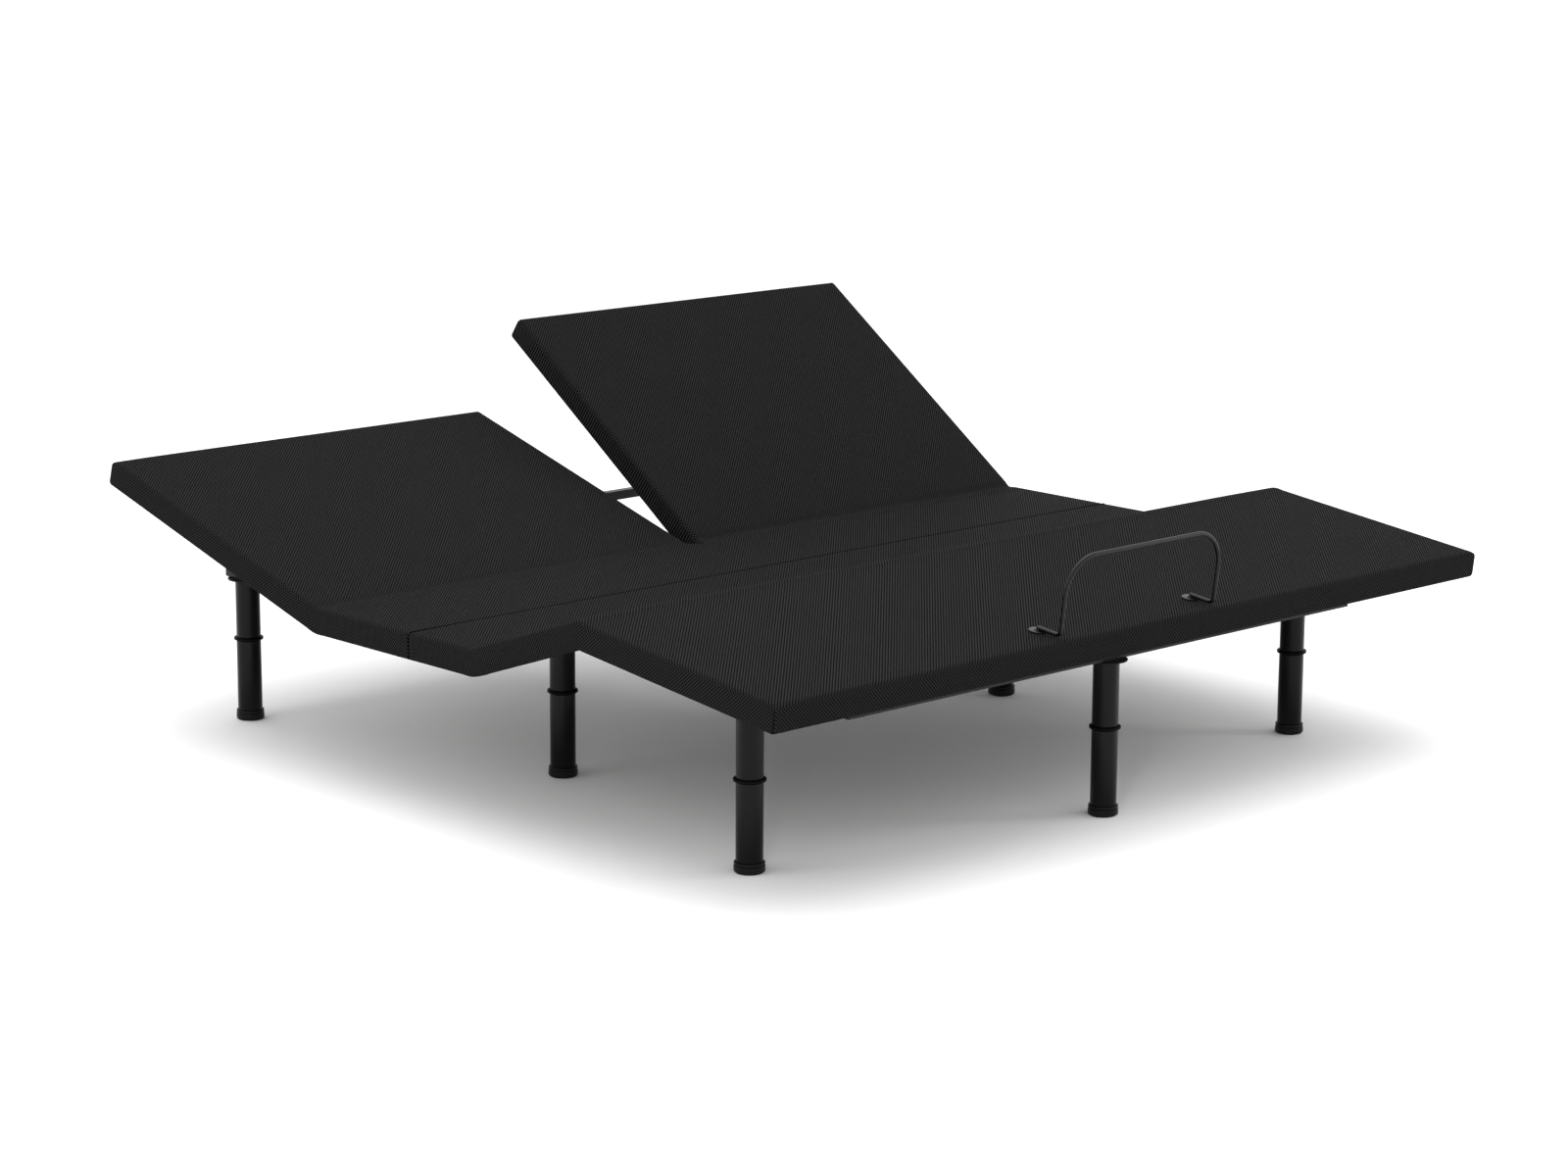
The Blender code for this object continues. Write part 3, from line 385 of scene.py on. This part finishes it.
def padded_solid(outline, pockets, joins, seams):
    """A section drawn flat: rounded outside, plain where it runs on into the next one, hollow below."""
    mesh = bmesh.new()
    add_prism(mesh, outline, -DECK_DEPTH, 0.0)
    weights = mesh.edges.layers.float.new("bevel_weight_edge")
    for edge in mesh.edges:
        faces = edge.link_faces
        if edge.calc_face_angle() < radians(30) or any(on_line(face, joins) for face in faces):
            continue
        heights = [v.co.z for v in edge.verts]
        if any(on_line(face, seams) for face in faces):
            radius = SEAM_RADIUS
        elif min(heights) < -DECK_DEPTH / 2 < max(heights):
            radius = CORNER_RADIUS
        else:
            radius = TOP_RADIUS if heights[0] > -DECK_DEPTH / 2 else LOW_RADIUS
        edge[weights] = radius / TOP_RADIUS
    data = bpy.data.meshes.new("section")
    mesh.to_mesh(data)
    mesh.free()
    body = bpy.data.objects.new("section", data)
    bpy.context.scene.collection.objects.link(body)
    rounding = body.modifiers.new("rounding", "BEVEL")
    rounding.width = TOP_RADIUS
    rounding.segments = EDGE_STEPS
    rounding.limit_method = "WEIGHT"
    rounding.use_clamp_overlap = False
    guides = []
    for low, high, pocket in pockets:
        hollow = bmesh.new()
        add_prism(hollow, pocket, low, high)
        cut_data = bpy.data.meshes.new("pocket")
        hollow.to_mesh(cut_data)
        hollow.free()
        guide = bpy.data.objects.new("pocket", cut_data)
        bpy.context.scene.collection.objects.link(guide)
        cut = body.modifiers.new("pocket", "BOOLEAN")
        cut.operation = "DIFFERENCE"
        cut.object = guide
        guides.append(guide)
    made = evaluated_copy(body)
    for guide in guides:
        cut_data = guide.data
        bpy.data.objects.remove(guide)
        bpy.data.meshes.remove(cut_data)
    return made


def unrolled(value, edge, depth):
    """How far a point is from the middle along the fabric, which turns down over a rounded edge."""
    past = abs(value) - (edge - TOP_RADIUS)
    if past <= 0:
        return value
    if depth < TOP_RADIUS:
        run = TOP_RADIUS * atan2(past, TOP_RADIUS - depth)
    else:
        run = TOP_RADIUS * pi / 2 + depth - TOP_RADIUS
    return (edge - TOP_RADIUS + run) * (1 if value > 0 else -1)


def lay_weave(mesh, x_low, x_high, end):
    """Weave coordinates in metres, for a section that is still flat."""
    layer = mesh.loops.layers.uv.new("weave")
    middle, half = (x_low + x_high) / 2, (x_high - x_low) / 2
    hollow_low, hollow_high = x_low + WALL - 0.001, x_high - WALL + 0.001
    for face in mesh.faces:
        centre = face.calc_center_median()
        inside = centre.z < -SKIN + 0.001 and hollow_low < centre.x < hollow_high
        over_end = end is not None and abs(centre.x - middle) < half - 0.003
        for loop in face.loops:
            x, s, n = loop.vert.co
            if inside and abs(face.normal.z) < 0.5:
                pair = (s, n) if abs(face.normal.x) > 0.5 else (x, n)
            else:
                s_run = unrolled(s, end, -n) if over_end else s
                pair = (middle + unrolled(x - middle, half, -n), s_run)
            loop[layer].uv = pair


def cut_across(mesh, place, direction):
    bmesh.ops.bisect_plane(mesh, geom=list(mesh.verts) + list(mesh.edges) + list(mesh.faces), dist=1e-6,
                           plane_co=place, plane_no=direction)


def section(name, finish, outline, pockets, joins, seams, run, end=None):
    """One section's cover, woven and folded."""
    data = padded_solid(outline, pockets, joins, seams)
    mesh = bmesh.new()
    mesh.from_mesh(data)
    bpy.data.meshes.remove(data)
    x_low, x_high = min(x for x, _ in outline), max(x for x, _ in outline)
    s_low, s_high = min(s for _, s in outline), max(s for _, s in outline)
    cuts = [s_low + (s_high - s_low) * k / STRIPS for k in range(1, STRIPS)]
    for at, half, _ in run.folds:
        cuts += [at + half * k / BEND_STRIPS for k in range(-BEND_STRIPS, BEND_STRIPS + 1)]
    for s in sorted(c for c in cuts if s_low + STRIP_MARGIN < c < s_high - STRIP_MARGIN):
        cut_across(mesh, (0, s, 0), (0, 1, 0))
    for k in range(1, STRIPS):
        cut_across(mesh, (x_low + (x_high - x_low) * k / STRIPS, 0, 0), (1, 0, 0))
    lay_weave(mesh, x_low, x_high, end)
    for vert in mesh.verts:
        x, s, n = vert.co
        if n > -SKIN / 2:
            inset = min(x + HALF_WIDTH, HALF_WIDTH - x, CROWN_REACH)
            n -= CROWN * (1 - smooth_step(inset / CROWN_REACH))
        vert.co = run.place(x, s, n)
    if run.toward < 0:
        bmesh.ops.reverse_faces(mesh, faces=mesh.faces)
    return add_object(name, mesh, finish, smooth_angle=50)


def bend_ends(run, at, half):
    return run.place(0.0, at - half, -PIVOT_DEPTH), run.place(0.0, at + half, -PIVOT_DEPTH)


def head_section(side_name, side, run):
    """A head section's cover. It runs on over the seat, round its half of the notch at the split."""
    turns = [pi / 2 * k / EDGE_STEPS for k in range(EDGE_STEPS + 1)]
    arc = [(side * SPLIT_HALF * sin(turn), -NOTCH + SPLIT_HALF * (1 - cos(turn))) for turn in turns]
    outer = side * HALF_WIDTH
    outline = [(outer, -HEAD_JOIN), (0.0, -HEAD_JOIN)] + arc + [(side * SPLIT_HALF, HEAD_LENGTH),
                                                                (outer, HEAD_LENGTH)]
    inner = side * (SPLIT_HALF + WALL)
    outer_wall = side * (HALF_WIDTH - WALL)
    relief_wall = side * (SPLIT_HALF + WALL + RELIEF_OVERLAP)
    past = side * -OVERCUT
    past_join = -HEAD_JOIN - OVERCUT
    pocket = [(outer_wall, past_join), (past, past_join), (past, -NOTCH - WALL), (inner, -NOTCH - WALL),
              (inner, HEAD_LENGTH - WALL), (outer_wall, HEAD_LENGTH - WALL)]
    relief = [(relief_wall, past_join), (past, past_join), (past, RELIEF_END), (relief_wall, RELIEF_END)]
    pockets = [(POCKET_FLOOR, -SKIN, pocket), (POCKET_FLOOR, -NOTCH_DEPTH, relief)]
    if side < 0:
        outline.reverse()
        pockets = [(low, high, shape[::-1]) for low, high, shape in pockets]
    piece = section(f"head_{side_name}_upholstery", FABRIC, outline, pockets,
                    joins=[(1, -HEAD_JOIN), (0, 0.0)], seams=[], run=run, end=HEAD_LENGTH)
    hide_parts(f"head_{side_name}_cover")
    bend_ends(run, 0.0, SOFT_BEND)
    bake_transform(piece)


def across(low, high, width):
    return [(-width, low), (width, low), (width, high), (-width, high)]


def straight_section(name, low, high, joins, seams, run, end=None):
    """A full-width cover from low to high along the deck."""
    past_low = low - OVERCUT
    past_high = high - WALL if end is not None else high + OVERCUT
    pockets = [(POCKET_FLOOR, -SKIN, across(past_low, past_high, HALF_WIDTH - WALL))]
    return section(name, FABRIC, across(low, high, HALF_WIDTH), pockets, [(1, at) for at in joins],
                   [(1, at) for at in seams], run, end)


for head_side, head_sign, head_run in (("left", -1, HEAD_LEFT_RUN), ("right", 1, HEAD_RIGHT_RUN)):
    head_section(head_side, head_sign, head_run)

seam_head, seam_foot = SEAT_SEAM - SEAM_GAP, SEAT_SEAM + SEAM_GAP
seat = straight_section("seat_upholstery", HEAD_JOIN, seam_head, [HEAD_JOIN], [seam_head], SEAT_RUN)
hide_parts("seat_head_cover")
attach(seat, "frame")

thigh_end = RIDGE - RIDGE_JOIN
thigh = straight_section("thigh_upholstery", seam_foot, thigh_end, [thigh_end], [seam_foot], THIGH_RUN)
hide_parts("seat_thigh_cover", "thigh_cover")
bend_ends(THIGH_RUN, SEAT_LENGTH, SOFT_BEND)
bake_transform(thigh)

foot_end = RIDGE + FOOT_LENGTH
foot = straight_section("foot_upholstery", thigh_end, foot_end, [thigh_end], [], FOOT_RUN, end=foot_end)
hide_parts("foot_cover")
bend_ends(FOOT_RUN, RIDGE, RIDGE_BEND)
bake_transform(foot)


# Seam threads

THREAD_SIDES = 10
CORNER_THREAD = 0.0009       # radii of the threads
SEAT_THREAD = 0.0015
THREAD_SINK = 0.0003         # a corner's thread lies this much deeper than its rounding
SEAT_THREAD_DEPTH = 0.0014
SEAT_THREAD_END = 0.0030     # above the section's lower edge
STRAIGHT_SHARE = 0.8         # of the half width, where the thread across the seat lies level


def swept(line, radius, sides=20):
    """A round rod along points, with domed ends."""
    mesh = bmesh.new()
    runs = [(after - before).normalized() for before, after in zip(line, line[1:])]
    outward = runs[0].cross(Vector((0.31, 0.22, 0.93))).normalized()
    rings = []
    for k, point in enumerate(line):
        before, after = runs[max(k - 1, 0)], runs[min(k, len(runs) - 1)]
        outward = before.rotation_difference(after) @ outward
        middle = (before + after).normalized()
        spokes = [outward * cos(2 * pi * n / sides) + after.cross(outward) * sin(2 * pi * n / sides)
                  for n in range(sides)]
        rings.append([point + spoke * radius - after * (spoke.dot(middle) / after.dot(middle)) * radius
                      for spoke in spokes])

    def dome(ring, centre, outward_run):
        turns = [pi / 8, pi / 4, pi * 3 / 8]
        return [[centre + (corner - centre) * cos(turn) + outward_run * radius * sin(turn) * 0.5
                 for corner in ring] for turn in turns]

    rings = dome(rings[0], line[0], -runs[0])[::-1] + rings + dome(rings[-1], line[-1], runs[-1])
    made = [[mesh.verts.new(corner) for corner in ring] for ring in rings]
    for first, second in zip(made, made[1:]):
        for n in range(sides):
            beside = (n + 1) % sides
            mesh.faces.new((first[n], first[beside], second[beside], second[n]))
    mesh.faces.new(list(reversed(made[0])))
    mesh.faces.new(made[-1])
    bmesh.ops.recalc_face_normals(mesh, faces=mesh.faces)
    return mesh


def corner_seam(name, x, toward_x, end, run, carrier):
    """The seam down the corner of a section, where its side cover meets its end cover."""
    inset = CORNER_RADIUS * (1 - cos(pi / 4)) + THREAD_SINK
    line = [run.place(x - toward_x * inset, end - inset, n)
            for n in (-TOP_RADIUS, -DECK_DEPTH / 2, -DECK_DEPTH + LOW_RADIUS)]
    thread = swept(line, CORNER_THREAD, THREAD_SIDES)
    piece = add_object(f"{name}_corner_seam", thread, THREAD, smooth_angle=60)
    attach(piece, carrier)


for corner_side, toward in (("left", -1), ("right", 1)):
    corner_seam(f"foot_{corner_side}", toward * HALF_WIDTH, toward, foot_end, FOOT_RUN, "foot")
    head_run = HEAD_LEFT_RUN if toward < 0 else HEAD_RIGHT_RUN
    corner_seam(f"head_{corner_side}_outer", toward * HALF_WIDTH, toward, HEAD_LENGTH, head_run,
                f"head_{corner_side}")
    corner_seam(f"head_{corner_side}_inner", toward * SPLIT_HALF, -toward, HEAD_LENGTH, head_run,
                f"head_{corner_side}")


def seat_seam():
    """The sewn line across the seat and down both its sides, sunk between the two covers."""
    side = HALF_WIDTH - SEAT_THREAD_DEPTH
    bend = TOP_RADIUS - SEAT_THREAD_DEPTH
    turns = [pi / 2 * k / EDGE_STEPS for k in range(EDGE_STEPS + 1)]
    corner = [(side - bend * (1 - cos(turn)), -TOP_RADIUS + bend * sin(turn)) for turn in turns]
    half = [(side, -DECK_DEPTH + SEAT_THREAD_END)] + corner + [(side * STRAIGHT_SHARE, -SEAT_THREAD_DEPTH)]
    line = [SEAT_RUN.place(x, SEAT_SEAM, n) for x, n in half + [(-x, n) for x, n in reversed(half)]]
    thread = swept(line, SEAT_THREAD, THREAD_SIDES)
    piece = add_object("seat_seam_thread", thread, THREAD, smooth_angle=60)
    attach(piece, "frame")


seat_seam()


# Legs

def turned(outline, place, sides=72):
    """A piece turned about Z from (radius, z) points, listed from the top down, on a place in x and y."""
    mesh = bmesh.new()
    turns = [2 * pi * k / sides for k in range(sides)]
    rings = [[mesh.verts.new((place[0] + radius * cos(turn), place[1] + radius * sin(turn), height))
              for turn in turns] for radius, height in outline]
    for upper, lower in zip(rings, rings[1:]):
        for k in range(sides):
            after = (k + 1) % sides
            mesh.faces.new((upper[k], lower[k], lower[after], upper[after]))
    mesh.faces.new(rings[0])
    mesh.faces.new(list(reversed(rings[-1])))
    return mesh


def rounded(corners, steps=4):
    """A (radius, z) outline whose corners, given as (radius, z, rounding), are turned into arcs."""
    points = []
    for k, (r, z, rounding) in enumerate(corners):
        here = Vector((r, z))
        if not rounding or k in (0, len(corners) - 1):
            points.append((r, z))
            continue
        before = (Vector(corners[k - 1][:2]) - here).normalized()
        after = (Vector(corners[k + 1][:2]) - here).normalized()
        half_angle = acos(max(-1.0, min(1.0, before.dot(after)))) / 2
        reach = rounding / max(tan(half_angle), 1e-6)
        start, end = here + before * reach, here + after * reach
        for step in range(steps + 1):
            share = step / steps
            bend = start.lerp(here, share).lerp(here.lerp(end, share), share)
            points.append((bend.x, bend.y))
    return points


LEG_RADIUS = 0.025
LEG_CHAMFER = 0.0012
FLANGE_DEPTH = 0.0035
WELD = 0.0035                # reach of the weld below the flange
RING_RADIUS = 0.030
RING_TOP = 0.0060            # both above the lower end of the upper tube
RING_BOTTOM = 0.0003
RING_FIT = 0.0001
CAP_LIP = 0.0004             # the cap's upper band is this much slimmer than its lower one
CAP_GROOVE = 0.0016          # depth of the groove between the bands


def tube_outline(radius, top, split):
    """The upper tube and its welded flange."""
    return rounded([(radius - LEG_CHAMFER, top, 0), (radius, top - LEG_CHAMFER, 0.0005),
                    (radius, top - FLANGE_DEPTH, 0.0010), (LEG_RADIUS + WELD, top - FLANGE_DEPTH, 0.0008),
                    (LEG_RADIUS, top - FLANGE_DEPTH - WELD, 0.0015), (LEG_RADIUS, split + 0.0004, 0.0003),
                    (LEG_RADIUS - 0.0010, split, 0.0)])


def ring_outline(split):
    """The rubber ring at the upper tube's lower end."""
    inner, top, bottom = LEG_RADIUS + RING_FIT, split + RING_TOP, split + RING_BOTTOM
    return rounded([(inner, top, 0), (RING_RADIUS, top, 0.0018), (RING_RADIUS, bottom, 0.0018),
                    (inner, bottom, 0)])


def extension_outline(top, bottom):
    """The lower tube."""
    return rounded([(LEG_RADIUS - LEG_CHAMFER, top, 0), (LEG_RADIUS, top - LEG_CHAMFER, 0.0004),
                    (LEG_RADIUS, bottom + 0.0004, 0.0003), (LEG_RADIUS - 0.0006, bottom, 0)])


def foot_outline(radius, top):
    """The foot cap: two bands with a groove between them, and a rounded sole."""
    band, groove = radius - CAP_LIP, radius - CAP_GROOVE
    return rounded([(LEG_RADIUS + 0.0006, top, 0), (band, top, 0.0012), (band, top - 0.0042, 0.0006),
                    (groove, top - 0.0050, 0.0004), (groove, top - 0.0062, 0.0004),
                    (radius, top - 0.0070, 0.0006), (radius, 0.0028, 0.0016), (radius - 0.0030, 0.0, 0)])


def leg(name):
    """A leg's screwed-in upper tube with its flange and ring, its lower tube and its foot cap."""
    low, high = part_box(f"leg_{name}_upper")
    lower_low, lower_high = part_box(f"leg_{name}_lower")
    cap_low, cap_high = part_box(f"leg_{name}_cap")
    place = ((low.x + high.x) / 2, (low.y + high.y) / 2)
    tube = tube_outline((high.x - low.x) / 2, high.z, low.z)
    extension = extension_outline(lower_high.z, lower_low.z)
    foot_cap = foot_outline((cap_high.x - cap_low.x) / 2, cap_high.z)
    for part, node, outline, finish, slot_name in (
            ("tube", "upper", tube, LEG_PAINT, "frame_paint"),
            ("ring", "upper", ring_outline(low.z), RING_RUBBER, "black_plastic"),
            ("extension", "lower", extension, LEG_PAINT, "frame_paint"),
            ("foot", "cap", foot_cap, CAP_PLASTIC, "black_plastic")):
        piece = add_object(f"leg_{name}_{part}", turned(outline, place), finish, smooth_angle=35)
        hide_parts(f"leg_{name}_{node}")
        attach(piece, "frame")


for leg_name in ("head_left", "head_right", "middle_left", "middle_right", "foot_left", "foot_right",
                 "foot_centre"):
    leg(leg_name)


# Mattress retainer bar

RETAINER_X = -0.043
RETAINER_WIDTH = 0.420
RETAINER_HEIGHT = 0.144
RETAINER_ROD = 0.004
RETAINER_FOOT = 0.056
RETAINER_EDGE = 0.012
RETAINER_BEND = 0.070
RETAINER_KNEE = 0.012
DISC_RADIUS = 0.017
DISC = 0.003
DISC_SIDES = 48
DISC_LIFT = 0.0003           # clear of the fabric


def arc_points(centre, first, second, radius, steps):
    """A quarter arc from centre + radius * first to centre + radius * second."""
    return [centre + (first * cos(pi / 2 * k / steps) + second * sin(pi / 2 * k / steps)) * radius
            for k in range(steps + 1)]


def retainer_route():
    """The rod's centre line as (x, s, n) on the flat foot section, from one disc to the other."""
    across_axis, along_axis, up_axis = Vector((1, 0, 0)), Vector((0, 1, 0)), Vector((0, 0, 1))
    rest = DISC + RETAINER_ROD + DISC_LIFT
    hoop = RIDGE + FOOT_LENGTH - RETAINER_EDGE
    half = RETAINER_WIDTH / 2
    start = Vector((half, hoop - RETAINER_FOOT, rest))
    knee = Vector((half, hoop - RETAINER_KNEE, rest + RETAINER_KNEE))
    shoulder = Vector((half - RETAINER_BEND, hoop, rest + RETAINER_HEIGHT - RETAINER_BEND))
    line = [start, start.lerp(Vector((half, hoop - RETAINER_KNEE, rest)), 0.5)]
    line += arc_points(knee, -up_axis, along_axis, RETAINER_KNEE, 6)
    line += arc_points(shoulder, across_axis, up_axis, RETAINER_BEND, 14)
    line += [Vector((-p.x, p.y, p.z)) for p in reversed(line)]
    return [Vector((p.x + RETAINER_X, p.y, p.z)) for p in line]


def disc_outline():
    """A disc with the rod's raised socket on it."""
    return rounded([(0.0045, DISC + 0.0022, 0), (0.0060, DISC + 0.0016, 0.0006), (0.0068, DISC, 0.0006),
                    (DISC_RADIUS, DISC, 0.0012), (DISC_RADIUS, 0.0, 0.0005), (DISC_RADIUS - 0.001, 0.0, 0)])


def retainer():
    """The bent rod and the disc under each of its ends."""
    route = [FOOT_RUN.place(*point) for point in retainer_route()]
    rod = swept(route, RETAINER_ROD)
    hoop = add_object("retainer_hoop", rod, ROD_PAINT, smooth_angle=60)
    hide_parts("retainer_bar")
    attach(hoop, "foot")
    up = (FOOT_RUN.place(0, foot_end, 0.1) - FOOT_RUN.place(0, foot_end, 0.0)).normalized()
    stand = Vector((0, 0, 1)).rotation_difference(up).to_matrix().to_4x4()
    ends = retainer_route()
    for side_name, point in (("right", ends[0]), ("left", ends[-1])):
        disc = turned(disc_outline(), (0, 0), DISC_SIDES)
        seat_point = FOOT_RUN.place(point.x, point.y, DISC_LIFT)
        bmesh.ops.transform(disc, verts=disc.verts, matrix=Matrix.Translation(seat_point) @ stand)
        piece = add_object(f"retainer_disc_{side_name}", disc, ROD_PAINT, smooth_angle=35)
        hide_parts("retainer_bar")
        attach(piece, "foot")


retainer()


# Carried-over parts get their finishes

def finish_node(name, material):
    data = frame["nodes"][name].data
    data.materials.clear()
    data.materials.append(material)


def soften(name, width):
    """Folded, welded and moulded parts have small rounded edges."""
    rounding = frame["nodes"][name].modifiers.new("soft_edges", "BEVEL")
    rounding.width = width
    rounding.segments = 2
    rounding.limit_method = "ANGLE"
    rounding.angle_limit = radians(50)
    rounding.harden_normals = True


HOUSING_EDGE = 0.0022
STEEL_EDGE = 0.0009
LEANS = {"seat": 0.0, "head_left": -radians(HEAD_LEFT_ANGLE), "head_right": -radians(HEAD_RIGHT_ANGLE),
         "thigh": radians(THIGH_ANGLE), "foot": -radians(FOOT_SLOPE)}
BOARDS = {board: plywood(f"{board}_plywood", lean) for board, lean in LEANS.items()}
for node_name in frame["nodes"]:
    if node_name.endswith("_board"):
        finish_node(node_name, BOARDS[node_name.removesuffix("_board")])
    elif node_name.endswith("_glide"):
        finish_node(node_name, GLIDE_NYLON)
    elif node_name.endswith("_actuator_rod"):
        finish_node(node_name, ROD_CHROME)
    elif node_name.endswith("_fold_shaft"):
        finish_node(node_name, SHAFT_ZINC)
    elif node_name.endswith("_housing") or node_name == "control_box":
        finish_node(node_name, HOUSING_PLASTIC)
        soften(node_name, HOUSING_EDGE)
    else:
        finish_node(node_name, FRAME_PAINT)
        soften(node_name, STEEL_EDGE)


# End plugs of the steel tubes

TUBE_WALL = 0.002
CROSSBAR_WIDTH = 0.040
PLUG_HEAD = 0.0018
PLUG_STUB = 0.014
PLUG_FIT = 0.0003
PLUG_ROUNDING = 0.0007


def end_plug(tube, axis, toward, width=None):
    """A moulded plug in a tube's end: a thin head over the end, and a stub inside."""
    low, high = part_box(tube)
    width_axis = 1 - axis
    if width is not None:
        high[width_axis] = low[width_axis] + width
    mesh = bmesh.new()
    end = (high if toward > 0 else low)[axis]
    for near, far, inset in ((PLUG_FIT, PLUG_HEAD, 0.0), (-PLUG_STUB, PLUG_FIT, TUBE_WALL + PLUG_FIT)):
        least, most = Vector(low), Vector(high)
        least[axis], most[axis] = sorted((end + toward * near, end + toward * far))
        for side_axis in (width_axis, 2):
            least[side_axis] += inset
            most[side_axis] -= inset
        made = bmesh.ops.create_cube(mesh, size=1.0)["verts"]
        for vert in made:
            vert.co = Vector(least[k] if vert.co[k] < 0 else most[k] for k in range(3))
    bmesh.ops.bevel(mesh, geom=mesh.edges, offset=PLUG_ROUNDING, segments=2, affect="EDGES", profile=0.5)
    end_name = "a" if toward < 0 else "b"
    piece = add_object(f"{tube}_plug_{end_name}", mesh, CAP_PLASTIC, smooth_angle=40)
    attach(piece, "frame")


for tube_name in ("inner_rail_left", "inner_rail_right"):
    end_plug(tube_name, 1, -1)
    end_plug(tube_name, 1, 1)
for tube_name in ("side_rail_left", "side_rail_right"):
    end_plug(tube_name, 1, -1)
for tube_name in ("foot_beam", "foot_crossbar"):
    end_plug(tube_name, 0, -1, CROSSBAR_WIDTH)
    end_plug(tube_name, 0, 1, CROSSBAR_WIDTH)


# Stage

FLOOR_SIZE = 120.0
FLOOR_DROP = 0.0004          # below the feet, so that no two faces lie in one plane


def floor():
    mesh = bmesh.new()
    bmesh.ops.create_grid(mesh, x_segments=1, y_segments=1, size=FLOOR_SIZE)
    bmesh.ops.translate(mesh, verts=mesh.verts, vec=(0.0, 0.0, -FLOOR_DROP))
    data = bpy.data.meshes.new("floor")
    mesh.to_mesh(data)
    mesh.free()
    data.materials.append(floor_material())
    ground = bpy.data.objects.new("floor", data)
    bpy.context.scene.collection.objects.link(ground)


def area_light(name, place, aim, size, power):
    data = bpy.data.lights.new(name, "AREA")
    data.shape = "RECTANGLE"
    data.size, data.size_y = size
    data.energy = power
    lamp = bpy.data.objects.new(name, data)
    lamp.location = place
    lamp.rotation_euler = (Vector(aim) - Vector(place)).to_track_quat("-Z", "Y").to_euler()
    bpy.context.scene.collection.objects.link(lamp)


def stage():
    floor()
    world = bpy.data.worlds.new("studio")
    bpy.context.scene.world = world
    world.use_nodes = True
    sky = world.node_tree.nodes["Background"]
    sky.inputs["Color"].default_value = (1.0, 1.0, 1.0, 1.0)
    sky.inputs["Strength"].default_value = 1.13
    area_light("overhead", (-0.3, 0.2, 4.8), (0.0, 0.0, 0.3), (6.0, 6.0), 200.0)
    area_light("left_softbox", (-4.8, 1.2, 2.0), (0.0, -0.2, 0.2), (2.0, 2.6), 24.0)
    area_light("front_softbox", (-3.9, -3.4, 2.4), (0.0, 0.0, 0.2), (0.45, 2.2), 30.0)
    area_light("right_softbox", (3.6, -3.4, 1.9), (0.0, -0.2, 0.2), (1.2, 2.6), 30.0)
    bpy.context.scene.view_settings.view_transform = "Standard"


def camera():
    data = bpy.data.cameras.new("camera")
    data.lens = CAMERA_LENS
    data.sensor_width = 36.0
    data.clip_start, data.clip_end = 0.05, 400.0
    eye = bpy.data.objects.new("camera", data)
    eye.matrix_world = (Matrix.Translation(CAMERA_PLACE) @ Matrix.Rotation(-radians(CAMERA_TURN), 4, "Z")
                        @ Matrix.Rotation(radians(90 - CAMERA_DOWN), 4, "X")
                        @ Matrix.Rotation(radians(CAMERA_ROLL), 4, "Z"))
    bpy.context.scene.collection.objects.link(eye)
    bpy.context.scene.camera = eye


stage()
camera()
